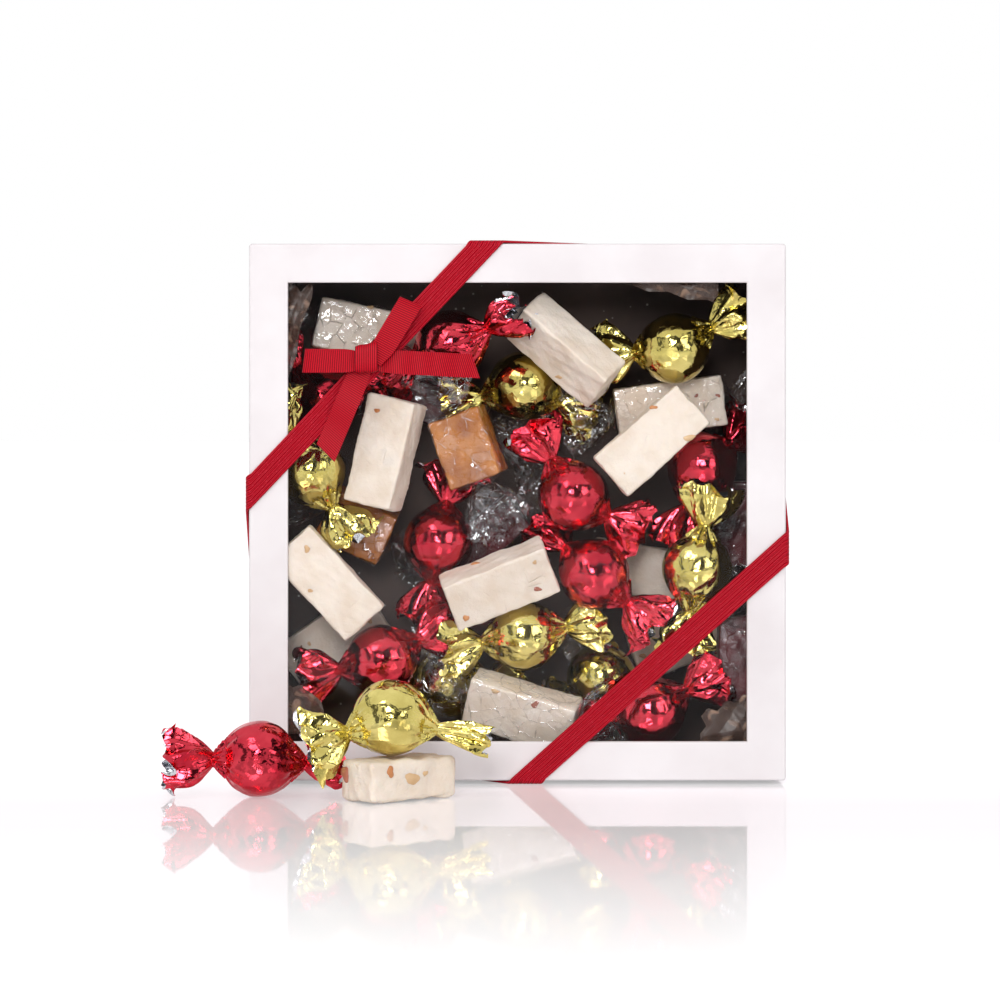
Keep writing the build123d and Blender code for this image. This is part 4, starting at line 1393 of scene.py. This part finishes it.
@dataclass
class FoilSweet:
    """A round sweet in a foil twist: a creased ball whose gathers run into its twisted ends.

    Least is the least length, width and depth of an end. Ends, where it is given, has the length,
    width, depth and curl of each end from the left. Dents has the pitch and the depth of the
    large dents and of the small ones.
    """

    node: str
    body: str
    finish: ColouredFoil
    slot: str
    seed: int
    room: Surroundings
    least: tuple[float, float, float] = (17 * MM, 25 * MM, 14 * MM)
    ends: tuple[tuple[float, float, float, float], ...] = ()
    gather: float = 4.6 * MM
    gather_half: float = 6.5 * MM
    neck_half: float = 1.6 * MM
    foil_thick: float = 0.07 * MM
    dents: tuple[tuple[float, float], ...] = ((5.5 * MM, 0.26 * MM), (2.4 * MM, 0.05 * MM))

    def ball(self) -> tuple[np.ndarray, float]:
        """Find the ball round the chocolate centre inside this wrapper.

        Returns:
            The ball's middle and radius.
        """
        points = points_of(self.node)

        def fit(ball: tuple[np.ndarray, float]) -> int:
            """Count the wrapper's corners on a ball.

            Args:
                ball: Its middle and radius.

            Returns:
                How many lie on its surface.
            """
            gaps = np.abs(np.linalg.norm(points - ball[0], axis=1) - ball[1])
            return int((gaps < 0.1 * MM).sum())

        return max(self.room.balls, key=fit)

    def twists(self, middle: np.ndarray, radius: float) -> list[Twist]:
        """Find the two twists in the corners that lie beyond the ball and its gathers.

        Args:
            middle: The ball's middle.
            radius: The ball's radius.

        Returns:
            The twists, with their sizes.
        """
        points = points_of(self.node)
        clear_of_gather, end_of_neck, neck_start = 0.9, 1.6, 0.8
        reach = np.linalg.norm(points - middle, axis=1)
        far = points[reach > radius + self.gather * clear_of_gather]
        rays = unit_rows(far - middle)
        first = rays[np.argmax(np.linalg.norm(far - middle, axis=1))]
        second = rays[np.argmin(rays @ first)]
        for _ in range(6):
            nearer = rays @ first > rays @ second
            first, second = (unit(rays[group].mean(0)) for group in (nearer, ~nearer))
        found = []
        for step, group in enumerate((nearer, ~nearer)):
            tips = far[group]
            spans = np.linalg.norm(tips - middle, axis=1)
            ends = tips[spans < radius + self.gather * end_of_neck]
            ray = unit((ends.mean(0) if len(ends) > 3 else tips.mean(0)) - middle)
            start = middle + ray * (radius + self.gather * neck_start)
            twist = Twist.read(tips, start, ray, self.seed * 7 + step)
            twist.enlarge(self.least)
            found.append(twist)
        for twist, end in zip(sorted(found, key=lambda twist: twist.along[0]), self.ends):
            twist.length, twist.width, twist.depth, twist.curl = end
        return found

    def creased_ball(
        self, middle: np.ndarray, radius: float, twists: list[Twist]
    ) -> bpy.types.Object:
        """Make the ball: gathers drawn up to each twist, pleats that fade over it, and dents.

        Args:
            middle: The ball's middle.
            radius: The ball's radius.
            twists: The twists that its gathers run into.

        Returns:
            The ball.
        """
        pick()
        bpy.ops.mesh.primitive_ico_sphere_add(subdivisions=6, radius=1.0, location=(0, 0, 0))
        ball = name_newest(f"{self.node}_ball")
        rays = unit_rows(points_of(ball.name))
        draw = random.Random(self.seed)
        size = np.full(len(rays), radius)
        for step, (pitch, deep) in enumerate(self.dents):
            size += crumple(rays * radius, pitch, self.seed + 9 * step, 4) * deep
        pleat_fade, pleat_rise, fine_fade, fine_rise = 0.45, 0.036, 0.22, 0.016
        edge = math.asin(self.gather_half / radius)
        foot = radius * math.cos(edge)
        places = rays * size[:, None]
        for twist in twists:
            angle = np.arccos(np.clip(rays @ twist.along, -1, 1))
            turn = np.arctan2(rays @ twist.near, rays @ twist.wide)
            count = draw.choice((9, 10, 11))
            wobble = 0.5 * np.sin(2 * turn + draw.uniform(0, 6))
            wobble += 0.3 * np.sin(3 * turn + draw.uniform(0, 6))
            round_share = turn / FULL_TURN
            pleat = triangle_wave(count * round_share + 0.35 * wobble + 0.25 * angle)
            fine = triangle_wave((2 * count + 5) * round_share + 0.5 * wobble + 0.6 * angle)
            past = np.maximum(angle - edge, 0)
            swell = 1 + pleat * np.exp(-past / pleat_fade) * pleat_rise
            swell += fine * np.exp(-past / fine_fade) * fine_rise
            share = np.clip(angle / edge, 0, 1)
            rise = foot + (radius + self.gather - foot) * (1 - share) ** 0.8
            spread = self.neck_half + (self.gather_half - self.neck_half) * share ** 1.4
            spread = np.where(share < 0.05, spread * share / 0.05, spread)
            level = unit_rows(rays - np.outer(rays @ twist.along, twist.along))
            level *= (spread * (1 + pleat * 0.15 + fine * 0.07))[:, None]
            drawn = np.outer(rise, twist.along) + level
            places = np.where((share < 1)[:, None], drawn, places * swell[:, None])
        set_corners(ball, middle + places)
        return ball

    def make(self) -> None:
        """Make the whole wrapper as one piece."""
        middle, radius = self.ball()
        twists = self.twists(middle, radius)
        parts = [self.creased_ball(middle, radius, twists)]
        for step, twist in enumerate(twists):
            parts.append(twist.tube(f"{self.node}_twist_{step}", self.room, middle))
        for part in parts:
            part.data.materials.append(self.finish.material())
            part.data.materials.append(SILVER_FOIL.material())
        for tube in parts[1:]:
            apply_modifier(
                tube, "SOLIDIFY", thickness=self.foil_thick, offset=-1.0, material_offset=1,
                use_rim=True)
        whole = joined(f"{self.node}_wrapper", parts)
        smooth(whole, 38)
        settle(whole, self.body, self.node)


@dataclass(frozen=True)
class Morsel:
    """A piece of nut or fruit that the knife has left level with a bar's face."""

    finish: Confection
    across: float
    tall: float
    place: tuple[float, float]
    thick: float = 1.2 * MM
    proud: float = 0.12 * MM

    def make(self, name: str, spot: np.ndarray, axes: np.ndarray, seed: int) -> bpy.types.Object:
        """Make the morsel as an uneven pebble that is sunk in the face.

        Args:
            name: The piece's name.
            spot: Its middle on the face.
            axes: The directions across the face, up it and out of it, as rows.
            seed: Which outline it gets.

        Returns:
            The new piece.
        """
        draw = random.Random(seed)
        pick()
        bpy.ops.mesh.primitive_ico_sphere_add(subdivisions=4, radius=1.0, location=(0, 0, 0))
        pebble = name_newest(name)
        rays = points_of(name)
        turn = np.arctan2(rays[:, 1], rays[:, 0])
        outline = 1 + 0.16 * np.sin(2 * turn + draw.uniform(0, 6))
        outline += 0.12 * np.sin(3 * turn + draw.uniform(0, 6))
        outline += 0.06 * triangle_wave(5 * turn / FULL_TURN + draw.random())
        size = np.array([self.across / 2, self.tall / 2, self.thick / 2])
        local = rays * size * np.stack([outline, outline, np.ones_like(outline)], 1)
        set_corners(pebble, spot + axes[2] * (self.proud - self.thick / 2) + local @ axes)
        pebble.data.materials.append(self.finish.material())
        return pebble


def frame_of_bar(node: str) -> tuple[np.ndarray, np.ndarray, np.ndarray]:
    """Read how a bar lies from its solid's corners.

    Args:
        node: The bar's node.

    Returns:
        Its middle, its directions as rows and its half sizes.
    """
    points = np.unique(np.round(points_of(node), 7), axis=0)
    _, _, axes = np.linalg.svd(points - points.mean(0), full_matrices=False)
    if np.linalg.det(axes) < 0:
        axes[2] *= -1
    spread = (points - points.mean(0)) @ axes.T
    low, high = spread.min(0), spread.max(0)
    return points.mean(0) + (low + high) / 2 @ axes, axes, (high - low) / 2


@dataclass
class Bar:
    """A cut bar of nougat, caramel or toffee, with soft edges and bits of nut and fruit in it."""

    node: str
    body: str
    finish: Confection
    slot: str
    seed: int
    edge_round: float = 1.3 * MM
    waves: float = 0.5 * MM
    wave_pitch: float = 6 * MM
    shrink_share: float = 0.8
    grain_pitch: float = 1.8 * MM
    grain_share: float = 0.45
    cuts: int = 38
    morsels: tuple[Morsel, ...] = ()
    sink: float = 0.4 * MM
    border: float = 0.8 * MM

    def make(self) -> None:
        """Make the bar from a cube that is divided, rounded and made uneven."""
        middle, axes, half = frame_of_bar(self.node)
        pick()
        bpy.ops.mesh.primitive_cube_add(size=2, location=(0, 0, 0))
        bar = name_newest(f"{self.node}_cut")
        edit_whole(lambda: bpy.ops.mesh.subdivide(number_cuts=self.cuts))
        local = points_of(bar.name) * half
        core = np.clip(local, -(half - self.edge_round), half - self.edge_round)
        away = local - core
        rounded = core + unit_rows(away) * self.edge_round
        local = np.where(np.linalg.norm(away, axis=1)[:, None] > TINY, rounded, local)
        facing = unit_rows(squared(local / half, 12))
        place = middle + local @ axes
        rough = crumple(place, self.wave_pitch, self.seed, 4) * self.waves
        rough -= self.waves * self.shrink_share
        rough += crumple(place, self.grain_pitch, self.seed + 5, 4) * self.waves * self.grain_share
        set_corners(bar, place + (facing * rough[:, None]) @ axes)
        bar.data.materials.append(self.finish.material())
        whole = joined(bar.name, [bar] + self.studs(middle, axes, half))
        smooth(whole, 180)
        settle(whole, self.body, self.node)

    def studs(
        self, middle: np.ndarray, axes: np.ndarray, half: np.ndarray
    ) -> list[bpy.types.Object]:
        """Set each morsel in the face on which its place falls, seen from the front.

        Args:
            middle: The bar's middle.
            axes: Its directions, as rows.
            half: Its half sizes.

        Returns:
            The morsels that fall on a face.
        """
        least_facing = 0.15
        found = []
        for step, morsel in enumerate(self.morsels):
            for number, side in ((0, 1), (0, -1), (1, 1), (1, -1), (2, 1), (2, -1)):
                out = axes[number] * side
                if out[1] > -least_facing:
                    continue
                spot = np.array([morsel.place[0], 0.0, morsel.place[1]])
                level = middle + out * (half[number] - self.sink)
                spot[1] = level[1] - ((spot - level) @ out - (spot - level)[1] * out[1]) / out[1]
                local = np.abs((spot - middle) @ axes.T)
                room = np.delete(half, number) - self.border
                if (np.delete(local, number) > room).any():
                    continue
                up = unit(np.array([0, 0, 1.0]) - out * out[2])
                turned = np.stack([np.cross(up, out), up, out])
                name = f"{self.node}_morsel_{step}"
                found.append(morsel.make(name, spot, turned, self.seed * 3 + step))
                break
        return found


@dataclass
class FilmWraps:
    """The clear films of one kind of sweet: a creased sleeve and two twisted ends each."""

    node: str
    bars: list[str]
    seed: int
    room: Surroundings
    least: tuple[float, float, float] = (19 * MM, 28 * MM, 15 * MM)
    past_end: float = 4 * MM
    overhang: float = 3 * MM
    neck: float = 3.5 * MM
    back: float = 3 * MM
    gap: float = 0.35 * MM

    def make(self) -> None:
        """Make every wrap of this node as one piece."""
        parts = []
        shells = sorted(islands_of(self.node), key=lambda shell: -float(np.ptp(shell, 0).max()))
        for step, bar in enumerate(self.bars):
            middle, axes, half = frame_of_bar(bar)
            parts.append(self.sleeve(step, middle, axes, half))
            shell = self.shell_round(shells, middle, axes, half)
            for side in (-1, 1):
                tips = shell[(shell - middle) @ axes[0] * side > half[0] + self.past_end]
                if len(tips) < 4:
                    continue
                start = middle + axes[0] * side * (half[0] + self.neck)
                ray = unit(tips.mean(0) - start)
                twist = Twist.read(tips, start, ray, self.seed * 11 + step * 2 + side)
                twist.enlarge(self.least)
                name = f"{self.node}_twist_{step}_{side + 1}"
                parts.append(twist.tube(name, self.room, middle, self.back))
        for part in parts:
            part.data.materials.append(WRAP_FILM.material())
        whole = joined(f"{self.node}_crinkled", parts)
        smooth(whole, 60)
        settle(whole, "tray", self.node)

    def shell_round(
        self, shells: list[np.ndarray], middle: np.ndarray, axes: np.ndarray, half: np.ndarray
    ) -> np.ndarray:
        """Find the solid film that goes round a bar.

        Args:
            shells: The corners of each shell of the node, the largest first.
            middle: The bar's middle.
            axes: Its directions, as rows.
            half: Its half sizes.

        Returns:
            The shell that reaches past the bar's ends, or else the one with the nearest middle.
        """
        for shell in shells:
            offsets = shell - middle
            long = np.abs(offsets @ axes[0]).max() > half[0] + self.overhang
            close = np.linalg.norm(offsets @ axes[1:].T, axis=1).min() < half[1]
            if long and close and np.linalg.norm(shell.mean(0) - middle) < half[0]:
                return shell
        return min(shells, key=lambda corners: float(np.linalg.norm(corners.mean(0) - middle)))

    def sleeve(
        self, step: int, middle: np.ndarray, axes: np.ndarray, half: np.ndarray
    ) -> bpy.types.Object:
        """Make the creased sleeve round one bar, drawn in at both ends.

        Args:
            step: The bar's number among those of this node.
            middle: The bar's middle.
            axes: Its directions, as rows.
            half: Its half sizes.

        Returns:
            The sleeve.
        """
        drawn_in, tight, slack = 0.85, 0.22, 0.5
        crease_pitch, crease_depth = 4 * MM, 0.22 * MM

        def course(share: np.ndarray, around: np.ndarray) -> np.ndarray:
            """Find places on the sleeve.

            Args:
                share: Shares of its length.
                around: Shares of the way round it.

            Returns:
                The places in metres.
            """
            angle = FULL_TURN * around
            along = (2 * share - 1) * (half[0] + self.past_end)
            past = np.clip((np.abs(along) - half[0] + 0.5 * MM) / self.past_end, 0, 1)
            size = 1 - drawn_in * past ** 0.8
            corner = tight + slack * past
            wide = squared(np.cos(angle), corner) * (half[1] + self.gap) * size
            near = squared(np.sin(angle), corner) * (half[2] + self.gap) * size
            spots = np.stack([along, wide, near], 1) @ axes
            rough = crumple(spots, crease_pitch, self.seed + step, 5) * crease_depth
            pull = unit_rows(np.stack([np.zeros_like(wide), wide, near], 1))
            return middle + spots + (pull * rough[:, None]) @ axes

        return laid_sheet(f"{self.node}_sleeve_{step}", (44, 72), course, 4 * half[1], True)


# The corners of each paper as shares of its room's width and height: lower left, lower right,
# upper left, upper right.
PAPER_CORNERS: dict[str, tuple[tuple[float, float], ...]] = {
    "paper_left": ((0, 0), (0.35, 0.1), (0, 1), (1, 0.95)),
    "paper_top": ((0.1, 0.5), (1, 0.05), (0, 1), (1, 1)),
    "paper_lower_left": ((0, 0), (1, 0.0), (0, 1), (0.5, 0.75)),
    "paper_lower_right": ((0, 0.2), (1, 0), (0.08, 0.72), (0.75, 1)),
}


@dataclass
class GlassinePaper:
    """A thin brown paper, crumpled and tucked in between the sweets and the window's edge."""

    node: str
    seed: int
    torn: float = 0.05
    thick: float = 0.08 * MM
    fold_pitch: float = 7 * MM
    fold_share: float = 0.36
    crease_pitch: float = 2.5 * MM
    crease_share: float = 0.1

    def make(self) -> None:
        """Make the crumpled sheet in the room that the folded solid takes."""
        points = points_of(self.node)
        low, high = points.min(0), points.max(0)
        size = high - low
        lower_left, lower_right, upper_left, upper_right = np.array(PAPER_CORNERS[self.node])

        def course(across: np.ndarray, up: np.ndarray) -> np.ndarray:
            """Find places on the paper.

            Args:
                across: Shares of the way from its left border to its right one.
                up: Shares of the way from its lower border to its upper one.

            Returns:
                The places in metres.
            """
            below = np.outer(1 - across, lower_left) + np.outer(across, lower_right)
            above = np.outer(1 - across, upper_left) + np.outer(across, upper_right)
            share = below * (1 - up)[:, None] + above * up[:, None]
            edge = np.stack(
                [triangle_wave(1.7 * up + 0.3 * self.seed), triangle_wave(2.3 * across + 0.4)], 1)
            share = np.clip(share + self.torn * edge, 0, 1)
            flat = np.stack([low[0] + size[0] * share[:, 0], np.zeros_like(across),
                             low[2] + size[2] * share[:, 1]], 1)
            height = crumple(flat, self.fold_pitch, self.seed, 5) * self.fold_share
            height += crumple(flat, self.crease_pitch, self.seed + 3, 4) * self.crease_share
            flat[:, 1] = low[1] + size[1] * np.clip(0.5 + height, 0.02, 0.98)
            return flat

        sheet = laid_sheet(f"{self.node}_crumpled", (90, 60), course, float(size.min()))
        apply_modifier(sheet, "SOLIDIFY", thickness=self.thick, offset=0.0)
        sheet.data.materials.append(GLASSINE.material())
        smooth(sheet, 30)
        settle(sheet, "tray", self.node)


@dataclass
class Studio:
    """The glossy pale floor, the white surround, the soft lamps and the camera.

    Each lamp has its name, its place, its side in metres and its power in watts.
    """

    eye: tuple[float, float, float] = (-3.84 * MM, -1298.45 * MM, 155 * MM)
    lens_mm: float = 125.66
    sensor_mm: float = 36.0
    shift: tuple[float, float] = (0.0362, -0.132)
    aim: tuple[float, float, float] = (0.0, 0.02, 0.1)
    floor_side: float = 12.0
    lamps: tuple[tuple[str, tuple[float, float, float], float, float], ...] = (
        ("key_lamp", (-0.5, -0.9, 1.1), 0.5, 4.0),
        ("fill_lamp", (0.9, -1.0, 0.5), 0.5, 2.5),
        ("front_lamp", (-0.15, -1.5, 0.55), 0.4, 9.8),
    )

    def floor(self) -> None:
        """Lay a polished white floor, in which the reflection fades towards the viewer."""
        pick()
        bpy.ops.mesh.primitive_plane_add(size=1)
        plane = name_newest("studio_floor")
        set_corners(plane, points_of("studio_floor") * self.floor_side)
        material = bpy.data.materials.new("polished_white_floor")
        material.use_nodes = True
        tree = material.node_tree
        shader = tree.nodes["Principled BSDF"]
        feed(tree, shader, {"Base Color": linear("F4F4F5"), "Roughness": 0.4})
        place = add_node(tree, "ShaderNodeTexCoord").outputs["Object"]
        ahead = add_node(tree, "ShaderNodeSeparateXYZ", {"Vector": place}).outputs["Y"]
        share = add_node(
            tree, "ShaderNodeMapRange",
            {"Value": ahead, "From Min": -0.40, "From Max": -0.12, "To Min": 0.02, "To Max": 0.42})
        mirror = add_node(
            tree, "ShaderNodeBsdfAnisotropic", {"Color": linear("FBF1F7"), "Roughness": 0.03})
        glow = add_node(
            tree, "ShaderNodeMapRange",
            {"Value": ahead, "From Min": -0.06, "From Max": 0.10, "To Min": 1.95, "To Max": 3.2})
        white = add_node(tree, "ShaderNodeEmission", {"Strength": glow.outputs["Result"]})
        lit = add_node(
            tree, "ShaderNodeMixShader", {0: 0.75, 1: white.outputs[0], 2: shader.outputs[0]})
        top = add_node(
            tree, "ShaderNodeMixShader",
            {0: share.outputs["Result"], 1: lit.outputs[0], 2: mirror.outputs[0]})
        path = add_node(tree, "ShaderNodeLightPath")
        seen = 0.0
        for ray in ("Is Camera Ray", "Is Glossy Ray", "Is Transmission Ray"):
            seen = add_node(
                tree, "ShaderNodeMath", {0: seen, 1: path.outputs[ray]},
                operation="MAXIMUM").outputs[0]
        both = add_node(
            tree, "ShaderNodeMixShader", {0: seen, 1: shader.outputs[0], 2: top.outputs[0]})
        feed(tree, tree.nodes["Material Output"], {"Surface": both.outputs[0]})
        plane.data.materials.append(material)

    def surround(self) -> None:
        """Make the world white to the eye, panelled for reflections and a soft light otherwise."""
        world = bpy.data.worlds.new("white_surround")
        bpy.context.scene.world = world
        world.use_nodes = True
        tree = world.node_tree
        tree.nodes.clear()
        path = add_node(tree, "ShaderNodeLightPath")
        place = add_node(tree, "ShaderNodeTexCoord").outputs["Generated"]
        ray = add_node(tree, "ShaderNodeSeparateXYZ", {"Vector": place})
        across, height, front = (
            add_node(
                tree, "ShaderNodeMapRange",
                {"Value": ray.outputs[axis], "From Min": low, "From Max": high}).outputs["Result"]
            for axis, low, high in (("X", -1.0, 1.0), ("Z", 0.0, 1.0), ("Y", -0.02, -0.06)))
        panels, below, roof = (
            add_node(
                tree, "ShaderNodeValToRGB", {"Fac": factor}, stops, held=True).outputs["Color"]
            for factor, stops in (
                (across, {
                    0.0: "FFFFFF", 0.10: "6A6A6A", 0.19: "FFFFFF", 0.30: "484848", 0.44: "969696",
                    0.50: "3C3C3C", 0.70: "ECECEC", 0.77: "505050", 0.92: "FFFFFF"}),
                (height, {0.0: "FFFFFF", 0.52: "000000"}),
                (height, {0.0: "FFFFFF", 0.52: "5A5A5A", 0.60: "FFFFFF"})))
        low = add_node(tree, "ShaderNodeMath", {0: front, 1: below}, operation="MULTIPLY")
        seen = add_node(
            tree, "ShaderNodeMath",
            {0: path.outputs["Is Camera Ray"], 1: path.outputs["Is Transmission Ray"]},
            operation="MAXIMUM")
        soft_light, white = (0.45, 0.45, 0.45, 1.0), (1.0, 1.0, 1.0, 1.0)
        gloss = add_node(
            tree, "ShaderNodeMix", {0: low.outputs[0], 6: roof, 7: panels}, data_type="RGBA")
        mirrored = add_node(
            tree, "ShaderNodeMix",
            {0: path.outputs["Is Glossy Ray"], 6: soft_light, 7: gloss.outputs[2]},
            data_type="RGBA")
        colour = add_node(
            tree, "ShaderNodeMix", {0: seen.outputs[0], 6: mirrored.outputs[2], 7: white},
            data_type="RGBA").outputs[2]
        light = add_node(tree, "ShaderNodeBackground", {"Color": colour})
        add_node(tree, "ShaderNodeOutputWorld", {"Surface": light.outputs[0]})

    def lamp(
        self, name: str, place: tuple[float, float, float], size: float, power: float
    ) -> None:
        """Hang one soft square lamp that points at the box.

        Args:
            name: The lamp's name.
            place: Where it hangs.
            size: Its side in metres.
            power: Its power in watts.
        """
        data = bpy.data.lights.new(name, "AREA")
        data.energy, data.size = power, size
        lamp = bpy.data.objects.new(name, data)
        bpy.context.collection.objects.link(lamp)
        lamp.location = place
        aim = Vector(self.aim) - Vector(place)
        lamp.rotation_euler = aim.to_track_quat("-Z", "Y").to_euler()

    def camera(self) -> None:
        """Set the camera level and square to the window, and shift its frame."""
        data = bpy.data.cameras.new("camera")
        data.lens, data.sensor_width = self.lens_mm, self.sensor_mm
        data.shift_x, data.shift_y = self.shift
        data.clip_end = 50.0
        camera = bpy.data.objects.new("camera", data)
        bpy.context.collection.objects.link(camera)
        camera.location = self.eye
        camera.rotation_euler = (math.pi / 2, 0, 0)
        bpy.context.scene.camera = camera

    def set_up(self) -> None:
        """Set up everything round the object."""
        self.camera()
        self.floor()
        self.surround()
        for lamp in self.lamps:
            self.lamp(*lamp)
        bpy.context.scene.view_settings.view_transform = "Standard"


def scattered_morsels(node: str, seed: int, count: int = 4) -> tuple[Morsel, ...]:
    """Scatter bits of nut, and now and then of fruit, over what a bar shows from the front.

    Args:
        node: The bar's node.
        seed: Which scattering it is.
        count: How many bits there are.

    Returns:
        The bits, of which some may miss the bar's faces.
    """
    draw = random.Random(seed)
    low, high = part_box(node)
    found = []
    for _ in range(count):
        finish = draw.choice((ALMOND, ALMOND, ORANGE_PEEL, CHERRY))
        place = (draw.uniform(low[0], high[0]), draw.uniform(low[2], high[2]))
        across, tall = draw.uniform(2.2, 4.8) * MM, draw.uniform(1.6, 3.2) * MM
        found.append(Morsel(finish, across, tall, place))
    return tuple(found)


def surroundings(
    centres: list[str], bars: list[str], lining: str = "", film: str = ""
) -> Surroundings:
    """Gather the sweets that lie together, and the walls that hold them.

    Args:
        centres: The nodes of the chocolate centres, of which each ball is a skin larger.
        bars: The nodes of the cut bars.
        lining: The node that holds them, or none where they stand on the floor.
        film: The node in front of them.

    Returns:
        What lies round the wrappers' ends.
    """
    skin, edge = 0.5 * MM, 0.5 * MM
    balls = []
    for node in centres:
        for shell in islands_of(node):
            radius = float(np.ptp(shell, 0).max()) / 2 + skin
            balls.append(((shell.min(0) + shell.max(0)) / 2, radius))
    frames = [frame_of_bar(node) for node in bars]
    if not lining:
        low, high = np.array([-1, -1, edge]), np.array([1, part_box("lid_wrap")[0][1] - edge, 1])
        return Surroundings(balls, frames, low, high)
    low, high = box_of(lining)
    low += edge
    high -= 2 * edge
    low[1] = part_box(film)[1][1] + edge / 2
    return Surroundings(balls, frames, low, high)


def tray_sweets(nodes: list[str]) -> Surroundings:
    """Make every sweet and paper in the tray from its node's name.

    Args:
        nodes: The names of all nodes.

    Returns:
        What lies round the wrappers' ends.
    """
    kinds = {"nougat": NOUGAT, "caramel": CARAMEL, "toffee": TOFFEE}
    foils = {"red_foil_sweet": RED_FOIL, "gold_foil_sweet": GOLD_FOIL}
    bars = [
        node for node in nodes if node.startswith(tuple(kinds)) and not node.endswith("films")]
    room = surroundings(["chocolate_centres"], bars, "base_liner", "window_film")
    for seed, node in enumerate(sorted(nodes), SEED):
        for start, foil in foils.items():
            if node.startswith(start):
                FoilSweet(node, "tray", foil, start.replace("_sweet", ""), seed, room).make()
        for start, sweet in kinds.items():
            if node.startswith(start) and node in bars:
                bar = Bar(node, "tray", sweet, start, seed)
                if start == "nougat":
                    bar.morsels = scattered_morsels(node, seed)
                bar.make()
        if node in PAPER_CORNERS:
            GlassinePaper(node, seed).make()
    return room


def loose_sweets() -> None:
    """Make the three loose sweets that stand in front of the box."""
    room = surroundings(["loose_red_centre", "loose_gold_centre"], ["loose_nougat_bar"])
    red = FoilSweet("loose_red_foil", "loose_red", RED_FOIL, "red_foil", SEED + 201, room)
    red.ends = ((19 * MM, 25 * MM, 17 * MM, 6.5 * MM), (15 * MM, 17 * MM, 12 * MM, 3 * MM))
    red.make()
    gold = FoilSweet("loose_gold_foil", "loose_gold", GOLD_FOIL, "gold_foil", SEED + 202, room)
    gold.ends = ((17 * MM, 28 * MM, 16 * MM, 3 * MM), (20 * MM, 12 * MM, 10 * MM, 1 * MM))
    gold.make()
    bar = Bar("loose_nougat_bar", "loose_nougat", NOUGAT, "nougat", SEED + 203)
    bar.edge_round, bar.waves = 2.6 * MM, 0.7 * MM
    bar.morsels = (
        Morsel(CHERRY, 5.5 * MM, 5.0 * MM, (-46.6 * MM, 9.8 * MM)),
        Morsel(ALMOND, 2.2 * MM, 2.0 * MM, (-41.9 * MM, 10.5 * MM)),
        Morsel(ORANGE_PEEL, 3.6 * MM, 4.2 * MM, (-29.7 * MM, 11.3 * MM)),
        Morsel(ALMOND, 7.4 * MM, 5.2 * MM, (-22.2 * MM, 8.4 * MM)),
        Morsel(ALMOND, 2.6 * MM, 2.4 * MM, (-17.6 * MM, 9.8 * MM)))
    bar.make()


def wrapped_bars(node: str) -> list[str]:
    """Find the bars that the films of a node enclose.

    Args:
        node: The films' node.

    Returns:
        The names of the bars' nodes, in order.
    """
    start = node.replace("_films", "")
    names = [
        name for name in bpy.data.objects.keys() if name.startswith(start) and name[-1].isdigit()]
    shells = islands_of(node)
    found = []
    for name in sorted(names):
        points = points_of(name)
        low, high = points.min(0), points.max(0)
        if any((shell.min(0) < low).all() and (shell.max(0) > high).all() for shell in shells):
            found.append(name)
    return found


def main() -> None:
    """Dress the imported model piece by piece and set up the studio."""
    logging.basicConfig(level=logging.INFO, format="%(name)s: %(message)s")
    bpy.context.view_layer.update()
    Studio().set_up()
    Box().dress()
    wraps = {node: wrapped_bars(node) for node in ("nougat_films", "caramel_films", "toffee_films")}
    Elastic().make()
    Bow().make()
    room = tray_sweets(list(frame["nodes"]))
    for step, (node, bars) in enumerate(wraps.items()):
        LOG.info("%s wraps %s", node, ", ".join(bars))
        FilmWraps(node, bars, SEED + 100 + step * 10, room).make()
    loose_sweets()


if __name__ == "__main__":
    main()
